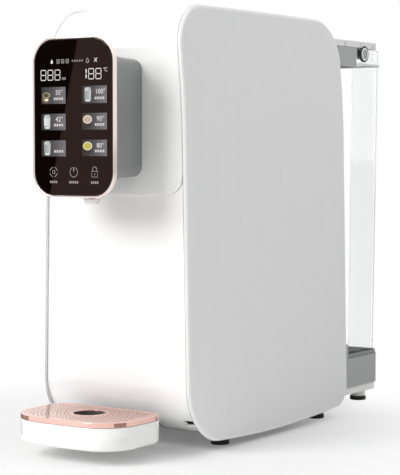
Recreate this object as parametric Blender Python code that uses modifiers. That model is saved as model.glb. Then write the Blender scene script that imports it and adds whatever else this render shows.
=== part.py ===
"""Countertop hot water dispenser with a lift-off water tank.

The frame is +Z up, metres, front towards -Y, origin on the table under the middle of the whole machine.
Every size below is a real one. Places along the depth are given behind the body's front face, which deep()
turns into the shared frame, or behind its rear face, which behind() turns.
"""
import math

import bmesh
import bpy
from mathutils import Matrix, Vector

# Whole machine
BODY_DEPTH = 0.280
BODY_HEIGHT = 0.380
BODY_FOOT = 0.0131
BODY_HALF = 0.0821
BODY_LEAN = 0.0071
BODY_TUCK = 0.0075
TUCK_START_SHARE = 0.70
TRAY_REACH = 0.080
SEAT_REAR = 0.110
GAP = 0.0003
CUT_OVER = 0.002

# Side view of the body
CORNER_FRONT_FOOT = 0.048
CORNER_FRONT_TOP = 0.040
CORNER_REAR_TOP = 0.040
CORNER_REAR_FOOT = 0.018
FOOT_BOW = 0.0078
TOP_BOW = 0.0011
BOW_FADE = 0.120

# Side panels
RIM_DEPTH = 0.0030
RIM_RADIUS = 0.0030
RIM_SHARES = (0.0, 0.13, 0.5, 1.0)
RIM_CLEAR = 0.0012
PANEL_CROWN = 0.0012
CROWN_REACH = 0.060
PANEL_WALL = 0.0020
LUG_LENGTH = 0.012
LUG_WIDTH = 0.005
LUG_REACH = 0.0098
LUG_SET = 0.025
LUG_HEIGHT_SHARES = (0.28, 0.72)

# Top cover with its apron, front panel, rear panel
COVER_SET = 0.0003
SEAM = 0.0008
COVER_WALL = 0.0020
APRON_CORNER = 0.018
FRONT_LAP = 0.024
FRONT_WALL = 0.0020
BELLY_REACH = 0.058
SEAM_DROP = 0.0481
NOTCH_RADIUS = 0.0095
NOTCH_BEHIND = 0.015
NOTCH_SQUASH_SHARE = 0.5
NECK_HOLE = 0.020
VENT_LENGTH = 0.050
VENT_WIDTH = 0.003
VENT_PITCH = 0.008
VENT_COUNT = 6
VENT_DROP = 0.1431

# Base pan and feet
PAN_WALL = 0.0025
PAN_SET = 0.0046
STUB_RADIUS = 0.0075
PAD_RADIUS = 0.0085
PAD_HEIGHT = 0.004
PAD_EDGE = 0.0007
FOOT_SET = 0.0201
FOOT_FRONT = 0.078
FOOT_REAR = 0.030

# Side frames and middle wall
FRAME_INSET = 0.0054
FRAME_SET = 0.0070
FRAME_WALL = 0.0018
BAY_LOW = 0.055
BAY_DROP = 0.0581
BAY_FRONT = 0.045
BAY_REAR = 0.040
WINDOW_BAR = 0.060
MID_WALL = 0.002
MID_INSET = 0.014
PASS_WIDTH = 0.036
PASS_HEIGHT = 0.030
PASS_CLEAR = 0.025

# Head
HEAD_DROP = 0.0988
GLASS_HALF_WIDTH = 0.0423
GLASS_HALF_HEIGHT = 0.0665
GLASS_CORNER = 0.0200
GLASS_THICK = 0.0030
GLASS_OUT = 0.0560
GLASS_EDGE = 0.0006
BEZEL_RIM = 0.0019
BEZEL_DEPTH = 0.0046
BEZEL_PROUD = 0.0003
BEZEL_EDGE = 0.0008
BEZEL_LEDGE = 0.0040
NECK_HALF_WIDTH = 0.0317
NECK_HALF_HEIGHT = 0.0512
NECK_CORNER = 0.0100
HOUSING_SHRINK = 0.0022
HOUSING_WALL = 0.0022
HOUSING_SHARES = ((0.0, 0.0), (0.0, 0.45), (0.10, 0.72), (0.35, 0.86), (0.72, 0.95), (1.0, 1.0))
BOARD_THICK = 0.0016
BOARD_MARGIN = 0.0032
BOARD_CHIP = 0.012
BOARD_CHIP_HIGH = 0.003

# Spout
SPOUT_OUT = 0.030
SPOUT_DROP = 0.0588
SPOUT_LENGTH = 0.0112
SPOUT_RADIUS = 0.0115
SPOUT_CHAMFER = 0.0018
TIP_LENGTH = 0.0044
TIP_RADIUS = 0.0068
STEM_RADIUS = 0.0055
STEM_LENGTH = 0.0165
SPOUT_BORE = 0.0030
SEAL_HIGH = 0.0048
SEAL_RADIUS = 0.0080

# Drip tray
TRAY_HALF = 0.059
TRAY_FOOT = 0.0133
TRAY_TOP = 0.0380
TRAY_BAND = 0.0043
TRAY_FRONT_CORNER = 0.030
TRAY_REAR_CORNER = 0.018
TRAY_FRONT_BOW = 0.005
TRAY_WALL = 0.0024
TRAY_FLOOR = 0.0024
TRAY_EDGE = 0.0030
COVER_PLATE = 0.0014
COVER_BORDER = 0.0050
COVER_EDGE = 0.0008
LIP_HEIGHT = 0.0030
LIP_WALL = 0.0016
DRAIN_AHEAD = 0.0348
DRAIN_RADIUS = 0.0140
DRAIN_CUP_WALL = 0.0012
DRAIN_CUP_FLOOR = 0.0012
SLOT_LENGTH = 0.0042
SLOT_WIDTH = 0.0013
SLOT_FIRST = 0.0185
SLOT_RING_STEP = 0.0066
SLOT_RINGS = 6
SLOT_ARMS = 18
SLOT_TWIST_SHARE = 0.42
SLOT_SLANT = math.radians(28)
SLOT_MARGIN = 0.0032
PRONG_WIDTH = 0.010
PRONG_THICK = 0.004
PRONG_LENGTH = 0.030
PRONG_ASIDE = 0.030
PRONG_HIGH = 0.0215
RUNNER_WALL = 0.0018
BRACKET_WIDTH = 0.080
BRACKET_HEIGHT = 0.012
BRACKET_THICK = 0.003

# Seat of the tank, with depths behind the body's rear face
SEAT_HALF = 0.0605
SEAT_CORNER = 0.014
SEAT_LOW = 0.0208
SEAT_TOP = 0.0512
SEAT_WALL = 0.0026
SEAT_FLOOR = 0.0375
SEAT_BRIDGE = 0.0395
SEAT_BRIDGE_TOP = 0.066
PLINTH_INSET = 0.0015
PLINTH_LOW = 0.0131
LIP_INSET = 0.0009
LIP_TOP = 0.0548
REAR_FOOT_ASIDE = 0.040
REAR_FOOT_SET = 0.012
PIPE_HIGH = 0.0300
COUPLING_RADIUS = 0.0100
COUPLING_DEEP = 0.0110
COUPLING_POST = 0.0030
COUPLING_RIM = 0.0020

# Tank, with depths behind the body's rear face and drops below the body's top
TANK_FRONT = 0.0420
TANK_REAR_LOW = 0.1055
TANK_REAR_HIGH = 0.1078
TANK_HALF_LOW = 0.0565
TANK_HALF_HIGH = 0.0600
TANK_CORNER = 0.008
TANK_LOW = 0.0380
TANK_DROP = 0.0231
TANK_WALL = 0.0024
TANK_BOTTOM_ROUND = 0.003
BAND_DROP = 0.0379
BAND_HEIGHT = 0.0022
BAND_OUT = 0.0016
GRIP_FRONT = 0.0100
GRIP_REAR = 0.0510
GRIP_WALL = 0.0024
GRIP_DROP = 0.0419
GRIP_CORNER = 0.006
COVER_DROP = 0.0159
COVER_THICK = 0.0062
COVER_HALF = 0.0625
COVER_FRONT = 0.0040
COVER_REAR = 0.1045
COVER_CORNER = 0.016
NICK_WIDTH = 0.0020
NICK_DEPTH = 0.0015
NICK_FRONT = 0.0250
NICK_SEAM = 0.0570
NICK_REAR = 0.0850

# Filling flap and its pivots
PIVOT_BEHIND = 0.0670
PIVOT_DROP = 0.0284
FLAP_ARC = 0.0144
SCOOP_DEEP = 0.0086
EAR_THICK = 0.0030
EAR_INSET = 0.0008
EAR_RADIUS = 0.0050
PIN_RADIUS = 0.0025
BOSS_RADIUS = 0.0058
KNOB_RADIUS = 0.0082
KNOB_THICK = 0.0025
KNOB_DISH = 0.0045
KNOB_DISH_DEEP = 0.0010
KNOB_EDGE = 0.0006
KNOB_SPACE = 0.0040

# Tank valve
VALVE_BEHIND = 0.0730
VALVE_NECK = 0.0080
VALVE_FLANGE = 0.0120
VALVE_FLANGE_THICK = 0.0020
VALVE_DROP = 0.0040
VALVE_BORE = 0.0055
VALVE_CAGE = 0.0160
VALVE_RIM = 0.0010
VALVE_LIP = 0.0036
VALVE_THROAT = 0.0036
VALVE_WINDOW = 0.0025
POPPET_THICK = 0.0018
POPPET_STEM = 0.0022
POPPET_TRAVEL = 0.0030
SPRING_WIRE = 0.0004
SPRING_RADIUS = 0.0042
SPRING_TURNS = 5
SPRING_STEPS = 8

# Hydraulics and electrics inside
PUMP_ROOM = 0.0024
PUMP_LENGTH = 0.0640
PUMP_REAR = 0.0670
PUMP_HIGH = 0.0520
PUMP_EDGE = 0.0020
PUMP_HEAD_LENGTH = 0.0280
PUMP_HEAD_SET = 0.0010
PUMP_HEAD_EDGE = 0.0030
PUMP_FOOT_LENGTH = 0.0168
PUMP_PORT = 0.0050
PUMP_PORT_LONG = 0.0080
CARTRIDGE_CLEAR = 0.0045
CARTRIDGE_ROOM = 0.0176
CARTRIDGE_LOW = 0.0600
CARTRIDGE_DROP = 0.0981
CARTRIDGE_BACK = 0.0950
CARTRIDGE_NECK = 0.0130
CARTRIDGE_NECK_LONG = 0.0140
CARTRIDGE_EDGE = 0.006
CARTRIDGE_GRIP = 0.0030
CARTRIDGE_GRIP_HALF = 0.0200
CARTRIDGE_GRIP_DEEP = 0.0120
HEAD_BLOCK_SET = 0.0040
HEAD_BLOCK_HIGH = 0.0300
FILTER_PORT_LONG = 0.0070
FILTER_PORT_APART = 0.0240
FILTER_PORT_RISE = 0.0160
CLEAN_ROOM = 0.0024
CLEAN_HEIGHT = 0.2000
CLEAN_CLEAR = 0.0350
CLEAN_REAR = 0.0400
CLEAN_EDGE = 0.008
CLEAN_WALL = 0.0022
CLEAN_PORT_IN = 0.014
HEATER_ROOM = 0.0084
HEATER_LOW = 0.1500
HEATER_DROP = 0.1031
HEATER_BACK = 0.0480
HEATER_END = 0.0060
HEATER_WAIST = 0.0020
VALVE_BLOCK = 0.0240
VALVE_BLOCK_EDGE = 0.0020
VALVE_COIL = 0.0110
VALVE_COIL_LONG = 0.0260
VALVE_BLOCK_BACK = 0.1200
VALVE_BLOCK_HIGH = 0.1200
POWER_WIDTH = 0.0900
POWER_HEIGHT = 0.1100
POWER_REAR = 0.0800
POWER_DROP = 0.1631
POWER_STAND = 0.0060
POWER_PART = 0.0180
HOSE_RADIUS = 0.0030
HOSE_BEND = 0.0120
HOSE_CLEAR = 0.0015
INLET_WIDTH = 0.0280
INLET_HEIGHT = 0.0200
INLET_DEPTH = 0.0160
INLET_FLANGE = 0.0030
INLET_SET = 0.0341
INLET_HIGH = 0.1000
INLET_RECESS = 0.0120
INLET_PIN = 0.0020
INLET_PIN_APART = 0.0050
INLET_PIN_RISE = 0.0025

# Values that follow from the ones above
FRONT = (TRAY_REACH - BODY_DEPTH - SEAT_REAR) / 2
BODY_TOP = BODY_FOOT + BODY_HEIGHT
UNDERSIDE = BODY_FOOT + COVER_SET + COVER_WALL + GAP
PAN_TOP = UNDERSIDE + PAN_WALL
PAN_HALF = BODY_HALF - PAN_SET
FOOT_ASIDE = BODY_HALF - FOOT_SET
REAR_SEAM = BODY_TOP - SEAM_DROP
VENT_LOW = BODY_TOP - VENT_DROP
BAY_HIGH = BODY_TOP - BAY_DROP
WINDOW_HEIGHT = (BAY_HIGH - BAY_LOW - WINDOW_BAR) / 2
ROOM_HALF = BODY_HALF - BODY_LEAN - BODY_TUCK - FRAME_SET - FRAME_WALL
HEAD_CENTRE = BODY_TOP - HEAD_DROP
APRON_LOW = HEAD_CENTRE - GLASS_HALF_HEIGHT
SPOUT_TOP = HEAD_CENTRE - SPOUT_DROP
SPOUT_STEP = SPOUT_TOP - SPOUT_LENGTH
SPOUT_LOW = SPOUT_STEP - TIP_LENGTH
STEM_TOP = SPOUT_TOP + STEM_LENGTH
TANK_TOP = BODY_TOP - TANK_DROP
BAND_HIGH = BODY_TOP - BAND_DROP
BAND_LOW = BAND_HIGH - BAND_HEIGHT
GRIP_LOW = BODY_TOP - GRIP_DROP
COVER_TOP = BODY_TOP - COVER_DROP
COVER_LOW = COVER_TOP - COVER_THICK
PIVOT_HIGH = BODY_TOP - PIVOT_DROP
INLET_ASIDE = BODY_HALF - INLET_SET
PUMP_RADIUS = (ROOM_HALF - MID_WALL - GAP - PUMP_ROOM) / 2
PUMP_HEAD_HALF = PUMP_RADIUS - PUMP_HEAD_SET
PUMP_BACK = BODY_DEPTH - PUMP_REAR
HEATER_RADIUS = (ROOM_HALF - MID_WALL - GAP - HEATER_ROOM) / 2
HEATER_HIGH = BODY_TOP - HEATER_DROP
CARTRIDGE_RADIUS = (BODY_HALF - CARTRIDGE_ROOM - CARTRIDGE_CLEAR) / 2
CARTRIDGE_ASIDE = CARTRIDGE_CLEAR + CARTRIDGE_RADIUS
CARTRIDGE_HIGH = BODY_TOP - CARTRIDGE_DROP
HEAD_BLOCK_RADIUS = CARTRIDGE_RADIUS - HEAD_BLOCK_SET
FILTER_PORT_HIGH = CARTRIDGE_HIGH + FILTER_PORT_RISE
CLEAN_WIDTH = ROOM_HALF - GAP - CLEAN_ROOM
CLEAN_FRONT = CARTRIDGE_BACK + CARTRIDGE_RADIUS + CLEAN_CLEAR
CLEAN_DEPTH = BODY_DEPTH - CLEAN_REAR - CLEAN_FRONT
POWER_BACK = BODY_DEPTH - POWER_REAR
POWER_HIGH = BODY_TOP - POWER_DROP
PASS_BACK = POWER_BACK - POWER_WIDTH / 2 - PASS_CLEAR
PASS_HIGH = CARTRIDGE_HIGH


def deep(distance):
    """Return the shared-frame Y of a place this far behind the body's front face."""
    return FRONT + distance


def behind(distance):
    """Return the shared-frame Y of a place this far behind the body's rear face."""
    return deep(BODY_DEPTH + distance)


def half_width(height):
    """Return half the width over the side panels at a height: they lean in, and more so near the top."""
    rise = (height - BODY_FOOT) / BODY_HEIGHT
    tuck = max(0.0, (rise - TUCK_START_SHARE) / (1 - TUCK_START_SHARE))
    return BODY_HALF - BODY_LEAN * rise - BODY_TUCK * tuck ** 2


def cover_half(height):
    """Return the half width of the covers, which end just inside the side panels' rims."""
    return half_width(height) - RIM_DEPTH - SEAM


def corner_draw(radius, reach):
    """Return how far a round corner draws in at a distance from the edge that it ends on."""
    if reach >= radius:
        return 0.0
    return radius - math.sqrt(max(0.0, radius ** 2 - (radius - max(0.0, reach)) ** 2))


def side_span(height, inset):
    """Return the front and rear Y of the side-view outline at a height, moved in by an inset."""
    above = height - (BODY_FOOT + inset)
    below = BODY_TOP - inset - height
    front = max(corner_draw(CORNER_FRONT_FOOT - inset, above), corner_draw(CORNER_FRONT_TOP - inset, below))
    rear = max(corner_draw(CORNER_REAR_FOOT - inset, above), corner_draw(CORNER_REAR_TOP - inset, below))
    return deep(inset + front), deep(BODY_DEPTH - inset - rear)


# Scene, materials and collections

def clear_scene():
    """Remove every object of the open scene."""
    for item in list(bpy.data.objects):
        bpy.data.objects.remove(item, do_unlink=True)


clear_scene()
PARTS = bpy.data.collections.new("hot_water_dispenser")
CUTTERS = bpy.data.collections.new("cutters")
bpy.context.scene.collection.children.link(PARTS)
bpy.context.scene.collection.children.link(CUTTERS)


def finish(name, colour, roughness, metallic=0.0, alpha=1.0):
    """Return a Principled material."""
    made = bpy.data.materials.new(name)
    made.use_nodes = True
    shader = made.node_tree.nodes["Principled BSDF"]
    shader.inputs["Base Color"].default_value = (*colour, 1.0)
    shader.inputs["Roughness"].default_value = roughness
    shader.inputs["Metallic"].default_value = metallic
    shader.inputs["Alpha"].default_value = alpha
    return made


WHITE = finish("white_gloss_abs", (0.86, 0.86, 0.86), 0.22)
PEARL = finish("white_satin_abs", (0.80, 0.80, 0.80), 0.38)
GREY = finish("grey_abs", (0.34, 0.34, 0.35), 0.45)
DARK_GREY = finish("dark_grey_abs", (0.12, 0.12, 0.12), 0.5)
BLACK_GLASS = finish("black_glass", (0.012, 0.009, 0.008), 0.05)
ROSE_GOLD = finish("rose_gold_plate", (0.85, 0.58, 0.49), 0.15, metallic=1.0)
CHROME = finish("chrome_plate", (0.78, 0.76, 0.75), 0.08, metallic=1.0)
RUBBER = finish("black_rubber", (0.015, 0.015, 0.015), 0.8)
CLEAR = finish("clear_as_resin", (0.93, 0.96, 0.97), 0.03, alpha=0.3)
STEEL = finish("steel", (0.55, 0.55, 0.56), 0.3, metallic=1.0)
BOARD_GREEN = finish("circuit_board", (0.02, 0.13, 0.06), 0.5)
SILICONE = finish("silicone_hose", (0.78, 0.78, 0.76), 0.5)
FILTER_WHITE = finish("filter_shell", (0.72, 0.76, 0.80), 0.35)


# Makers of shapes

def place(name, mesh, material, smooth=None):
    """Put a mesh in the parts collection as a named piece."""
    piece = bpy.data.objects.new(name, mesh)
    PARTS.objects.link(piece)
    dress(piece, material, smooth)
    return piece


def dress(piece, material, smooth=None):
    """Give a piece its material, and smooth shading below an angle in degrees."""
    if material is not None:
        piece.data.materials.clear()
        piece.data.materials.append(material)
    if smooth:
        piece.data.shade_smooth()
        piece.data.set_sharp_from_angle(angle=math.radians(smooth))


def from_bmesh(name, shape, material, smooth=None):
    """Turn a bmesh into a named piece."""
    bmesh.ops.recalc_face_normals(shape, faces=shape.faces)
    mesh = bpy.data.meshes.new(name)
    shape.to_mesh(mesh)
    shape.free()
    return place(name, mesh, material, smooth)


def bevel(piece, width, segments=2, angle=40):
    """Round the edges that are sharper than an angle in degrees."""
    made = piece.modifiers.new("edges", "BEVEL")
    made.width = width
    made.segments = segments
    made.limit_method = "ANGLE"
    made.angle_limit = math.radians(angle)
    return piece


def box(name, low, high, material, edge=0.0, segments=2):
    """Make a box between two corners."""
    shape = bmesh.new()
    size = Vector(high) - Vector(low)
    middle = (Vector(high) + Vector(low)) / 2
    matrix = Matrix.Translation(middle) @ Matrix.Diagonal((*size, 1.0))
    bmesh.ops.create_cube(shape, size=1.0, matrix=matrix)
    piece = from_bmesh(name, shape, material)
    return bevel(piece, edge, segments) if edge else piece


def turn_to(axis):
    """Return the rotation that carries +Z to an axis named by a letter."""
    turns = {"Z": Matrix.Identity(4), "X": Matrix.Rotation(math.pi / 2, 4, "Y"),
             "Y": Matrix.Rotation(-math.pi / 2, 4, "X")}
    return turns[axis]


def turned(name, profile, centre, material, axis="Z", steps=24, smooth=35):
    """Turn a profile of (radius, height) points, outer side first and downwards, about an axis."""
    shape = bmesh.new()
    points = [shape.verts.new((radius, 0.0, height)) for radius, height in profile]
    for first, second in zip(points, points[1:]):
        shape.edges.new((first, second))
    mesh = bpy.data.meshes.new(name)
    shape.to_mesh(mesh)
    shape.free()
    piece = place(name, mesh, material)
    screw = piece.modifiers.new("turn", "SCREW")
    screw.steps = steps
    screw.render_steps = steps
    screw.use_merge_vertices = True
    screw.merge_threshold = 0.00001
    screw.use_smooth_shade = True
    piece.matrix_world = Matrix.Translation(Vector(centre)) @ turn_to(axis)
    return settle(piece, material, smooth)


def settle(piece, material, smooth=None):
    """Apply a piece's modifiers and transform, so that other modifiers start from a plain mesh."""
    bpy.context.view_layer.update()
    graph = bpy.context.evaluated_depsgraph_get()
    mesh = bpy.data.meshes.new_from_object(piece.evaluated_get(graph))
    mesh.transform(piece.matrix_world)
    name = piece.name
    bpy.data.objects.remove(piece, do_unlink=True)
    mesh.name = name
    shape = bmesh.new()
    shape.from_mesh(mesh)
    bmesh.ops.remove_doubles(shape, verts=shape.verts, dist=0.000001)
    bmesh.ops.recalc_face_normals(shape, faces=shape.faces)
    shape.to_mesh(mesh)
    shape.free()
    return place(name, mesh, material, smooth)


def cylinder(name, centre, radius, length, material, axis="Z", steps=32, edge=0.0):
    """Make a cylinder centred at a point along a named axis."""
    shape = bmesh.new()
    matrix = Matrix.Translation(Vector(centre)) @ turn_to(axis)
    bmesh.ops.create_cone(shape, cap_ends=True, segments=steps, radius1=radius, radius2=radius,
                          depth=length, matrix=matrix)
    piece = from_bmesh(name, shape, material, 35)
    return bevel(piece, edge) if edge else piece


def flat_turn(axis):
    """Return the turn that stands an outline across an axis: (x, y) for Z, (x, z) for Y, (y, z) for X."""
    upright = Matrix.Rotation(math.pi / 2, 4, "X")
    turns = {"Z": Matrix.Identity(4), "Y": upright, "X": Matrix.Rotation(math.pi / 2, 4, "Z") @ upright}
    return turns[axis]


def slab(name, outline, low, high, material, axis="Z", smooth=35):
    """Extrude a flat closed outline between two places on a named axis."""
    curve = bpy.data.curves.new(name, "CURVE")
    curve.dimensions = "2D"
    curve.fill_mode = "BOTH"
    curve.extrude = abs(high - low) / 2
    run = curve.splines.new("POLY")
    run.points.add(len(outline) - 1)
    for point, (first, second) in zip(run.points, outline):
        point.co = (first, second, 0.0, 1.0)
    run.use_cyclic_u = True
    piece = bpy.data.objects.new(name, curve)
    PARTS.objects.link(piece)
    middle = (low + high) / 2
    place_on_axis = Vector([middle if letter == axis else 0.0 for letter in "XYZ"])
    piece.matrix_world = Matrix.Translation(place_on_axis) @ flat_turn(axis)
    piece = settle(piece, material)
    shape = bmesh.new()
    shape.from_mesh(piece.data)
    bmesh.ops.dissolve_limit(shape, angle_limit=math.radians(1), verts=shape.verts, edges=shape.edges)
    bmesh.ops.recalc_face_normals(shape, faces=shape.faces)
    shape.to_mesh(piece.data)
    shape.free()
    dress(piece, material, smooth)
    return piece


def rounded(half_wide, low, high, corner_low, corner_high, steps=6, bow=0.0):
    """Return a rectangle about x = 0 with its own radius at each end and a low end that may bow."""
    points = []
    corners = ((half_wide, low, corner_low, -math.pi / 2, 1, 1),
               (half_wide, high, corner_high, 0.0, 1, -1),
               (-half_wide, high, corner_high, math.pi / 2, -1, -1),
               (-half_wide, low, corner_low, math.pi, -1, 1))
    for edge_x, edge_y, radius, start, side_x, side_y in corners:
        middle = (edge_x - side_x * radius, edge_y + side_y * radius)
        for step in range(steps + 1):
            angle = start + math.pi / 2 * step / steps
            points.append((middle[0] + radius * math.cos(angle), middle[1] + radius * math.sin(angle)))
    if bow:
        flat = half_wide - corner_low
        points += [(-flat + 2 * flat * step / steps, low) for step in range(1, steps)]
        middle = (low + high) / 2
        points = [(x, y - bow * (1 - (x / half_wide) ** 2) if y < middle else y) for x, y in points]
    return points


def loft(name, rings, material, smooth=40, caps=True):
    """Skin a run of closed rings of equally many points, and close its ends."""
    shape = bmesh.new()
    loops = [[shape.verts.new(point) for point in ring] for ring in rings]
    count = len(rings[0])
    for lower, upper in zip(loops, loops[1:]):
        for step in range(count):
            following = (step + 1) % count
            shape.faces.new((lower[step], lower[following], upper[following], upper[step]))
    if caps in (True, "first"):
        shape.faces.new(loops[0][::-1])
    if caps is True:
        shape.faces.new(loops[-1])
    return from_bmesh(name, shape, material, smooth)


def sheet(name, rows, thickness, material, outward, smooth=40):
    """Give thickness, inwards, to a grid of points. outward is a direction that the outer side looks in."""
    wide = len(rows[0])
    shape = bmesh.new()
    bmesh.ops.create_grid(shape, x_segments=wide - 1, y_segments=len(rows) - 1, size=1.0)
    shape.verts.ensure_lookup_table()
    for place_in_grid, vert in enumerate(shape.verts):
        vert.co = rows[place_in_grid // wide][place_in_grid % wide]
    shape.normal_update()
    middle = max(shape.faces, key=lambda face: face.calc_area())
    if middle.normal.dot(Vector(outward)) < 0:
        bmesh.ops.reverse_faces(shape, faces=shape.faces)
    mesh = bpy.data.meshes.new(name)
    shape.to_mesh(mesh)
    shape.free()
    piece = place(name, mesh, material, smooth)
    skin = piece.modifiers.new("wall", "SOLIDIFY")
    skin.thickness = thickness
    skin.offset = -1.0
    return piece


def tube(name, route, radius, material):
    """Run a round tube along a smooth curve through a few points."""
    return wire(name, smooth_route(route), radius, material, 1)


def wire(name, points, radius, material, sides):
    """Run a round wire through points."""
    curve = bpy.data.curves.new(name, "CURVE")
    curve.dimensions = "3D"
    curve.bevel_depth = radius
    curve.bevel_resolution = sides
    curve.use_fill_caps = True
    run = curve.splines.new("POLY")
    run.points.add(len(points) - 1)
    for point, spot in zip(run.points, points):
        point.co = (*spot, 1.0)
    piece = bpy.data.objects.new(name, curve)
    PARTS.objects.link(piece)
    return settle(piece, material, 60)


def smooth_route(route, steps=2):
    """Return points along a Catmull-Rom curve through the route."""
    knots = [Vector(spot) for spot in route]
    knots = [knots[0] * 2 - knots[1]] + knots + [knots[-1] * 2 - knots[-2]]
    points = []
    for first, second, third, fourth in zip(knots, knots[1:], knots[2:], knots[3:]):
        for step in range(steps):
            share = step / steps
            points.append(((second * 2) + (third - first) * share
                           + (first * 2 - second * 5 + third * 4 - fourth) * share ** 2
                           + (second * 3 - first - third * 3 + fourth) * share ** 3) / 2)
    return points + [knots[-2]]


def combine(piece, tool, operation="DIFFERENCE"):
    """Cut, join or trim a piece with a tool, which becomes a hidden guide."""
    made = piece.modifiers.new(operation.lower(), "BOOLEAN")
    made.operation = operation
    made.solver = "EXACT"
    made.object = tool
    if tool.name not in CUTTERS.objects:
        CUTTERS.objects.link(tool)
        PARTS.objects.unlink(tool)
    tool.hide_render = True
    tool.display_type = "WIRE"
    return piece


def join(piece, *tools):
    """Unite tools with a piece."""
    for tool in tools:
        combine(piece, tool, "UNION")
    return piece


def cut(piece, *tools):
    """Take tools away from a piece."""
    for tool in tools:
        combine(piece, tool)
    return piece


# Side panels

def edge_distance(y, z):
    """Return how far a point of the side view lies inside the body's outline."""
    reach_y = min(y - FRONT, deep(BODY_DEPTH) - y)
    reach_z = min(z - BODY_FOOT, BODY_TOP - z)
    front = y - FRONT < BODY_DEPTH / 2
    low = z - BODY_FOOT < BODY_HEIGHT / 2
    radius = {(True, True): CORNER_FRONT_FOOT, (True, False): CORNER_FRONT_TOP,
              (False, True): CORNER_REAR_FOOT, (False, False): CORNER_REAR_TOP}[(front, low)]
    if reach_y < radius and reach_z < radius:
        return radius - math.hypot(radius - reach_y, radius - reach_z)
    return min(reach_y, reach_z)


def panel_depth(distance):
    """Return how far the panel's face stands off its rim at a distance from the outline."""
    turn = min(1.0, max(0.0, distance) / RIM_RADIUS)
    rim = RIM_DEPTH * math.sqrt(max(0.0, 1 - (1 - turn) ** 2))
    swell = min(1.0, max(0.0, distance) / CROWN_REACH)
    return rim + PANEL_CROWN * swell * (2 - swell)


def graded(low, high, first, last, middle):
    """Return places from low to high: fixed distances near each end and even steps between."""
    inner_low = low + first[-1]
    inner_high = high - last[-1]
    steps = [inner_low + (inner_high - inner_low) * step / (middle + 1) for step in range(1, middle + 1)]
    return [low + reach for reach in first] + steps + [high - reach for reach in reversed(last)]


def corner_steps(radius, count):
    """Return distances from an edge that follow a round corner at even angles."""
    return [radius * (1 - math.cos(math.pi / 2 * step / count)) for step in range(count + 1)]


def side_panel(name, side):
    """Make one pillow-shaped side panel: a thin dish whose rim meets the covers."""
    rim = [RIM_RADIUS * share for share in RIM_SHARES]
    low_steps = rim + [step for step in corner_steps(CORNER_FRONT_FOOT, 6) if step > rim[-1] + RIM_CLEAR]
    high_steps = rim + [step for step in corner_steps(CORNER_FRONT_TOP, 6) if step > rim[-1] + RIM_CLEAR]
    heights = graded(BODY_FOOT, BODY_TOP, low_steps, high_steps, 4)
    rows = []
    for height in heights:
        front, rear = side_span(height, 0.0)
        reach = rim + [CROWN_REACH]
        row = []
        for y in graded(front, rear, reach, reach, 1):
            along = (y - front) / (rear - front)
            arch = 4 * along * (1 - along)
            drop = FOOT_BOW * arch * max(0.0, 1 - (height - BODY_FOOT) / BOW_FADE)
            lift = TOP_BOW * arch * max(0.0, 1 - (BODY_TOP - height) / BOW_FADE)
            x = half_width(height) - RIM_DEPTH + panel_depth(edge_distance(y, height))
            row.append((side * x, y, height - drop + lift))
        rows.append(row)
    panel = sheet(name, rows, PANEL_WALL, PEARL, (side, 0.0, 0.0))
    return join(panel, *lugs(name, side, 0.0))


def lugs(name, side, room):
    """Make the four lugs that hold a side panel in its frame, grown by some room."""
    tools = []
    wide = LUG_WIDTH / 2 + room
    tall = LUG_LENGTH / 2 + room
    for up in LUG_HEIGHT_SHARES:
        height = BODY_FOOT + BODY_HEIGHT * up
        inner = side * (half_width(height) - LUG_REACH - room)
        outer = side * (half_width(height) - PANEL_WALL / 4)
        low_x, high_x = sorted((inner, outer))
        for y in (deep(LUG_SET), behind(-LUG_SET)):
            tools.append(box("%s_lug_%d" % (name, len(tools) + 1), (low_x, y - wide, height - tall),
                             (high_x, y + wide, height + tall), None))
    return tools


# Covers that bridge the two sides

def arc(middle_y, middle_z, radius, start, end, steps):
    """Return points of an arc in the side view, angles in degrees from +Y towards +Z."""
    points = []
    for step in range(steps + 1):
        angle = math.radians(start + (end - start) * step / steps)
        points.append((middle_y + radius * math.cos(angle), middle_z + radius * math.sin(angle)))
    return points


def strip(name, path, thickness, material, outward, narrow=None, columns=2):
    """Make a cover that follows a side-view path and spans between the side panels' rims."""
    rows = []
    for place_on_path, (y, z) in enumerate(path):
        half = cover_half(z) - (narrow(z) if narrow else 0.0)
        rows.append([(half * (2 * column / columns - 1), y, z) for column in range(columns + 1)])
    return sheet(name, rows, thickness, material, outward, 30)


def make_top_cover():
    """Make the top cover: up from the rear seam, over the top and down the front as an apron."""
    inset = COVER_SET
    top = BODY_TOP - inset
    front = deep(inset)
    rear = behind(-inset)
    radius = CORNER_FRONT_TOP - inset
    rear_radius = CORNER_REAR_TOP - inset
    path = [(front, APRON_LOW + step) for step in corner_steps(APRON_CORNER, 4)]
    path += [(front, HEAD_CENTRE)]
    path += arc(front + radius, top - radius, radius, 180, 90, 7)
    path += arc(rear - rear_radius, top - rear_radius, rear_radius, 90, 0, 7)
    path += [(rear, REAR_SEAM)]

    def narrow(height):
        """Draw the apron's sides in round its low corners."""
        return corner_draw(APRON_CORNER, height - APRON_LOW)

    cover = strip("top_cover", path, COVER_WALL, WHITE, (0.0, 0.0, 1.0), narrow)
    hole = cylinder("neck_hole", (0.0, front, HEAD_CENTRE), NECK_HOLE, NECK_HOLE, None, "Y", 20)
    return cut(cover, hole)


def make_front_panel():
    """Make the glossy lower front panel, which laps behind the apron and rolls under at the foot."""
    inset = COVER_SET + COVER_WALL + GAP
    front = deep(inset)
    low = BODY_FOOT + inset
    radius = CORNER_FRONT_FOOT - inset
    path = [(front, APRON_LOW + FRONT_LAP), (front, (APRON_LOW + low + radius) / 2)]
    path += arc(front + radius, low + radius, radius, 180, 270, 8)
    path += [(deep(BELLY_REACH), low)]
    panel = strip("front_panel", path, FRONT_WALL, WHITE, (0.0, -1.0, 0.0))
    for side in (-1, 1):
        cut(panel, finger_notch(side))
    return cut(panel, *bracket_slots())


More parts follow.
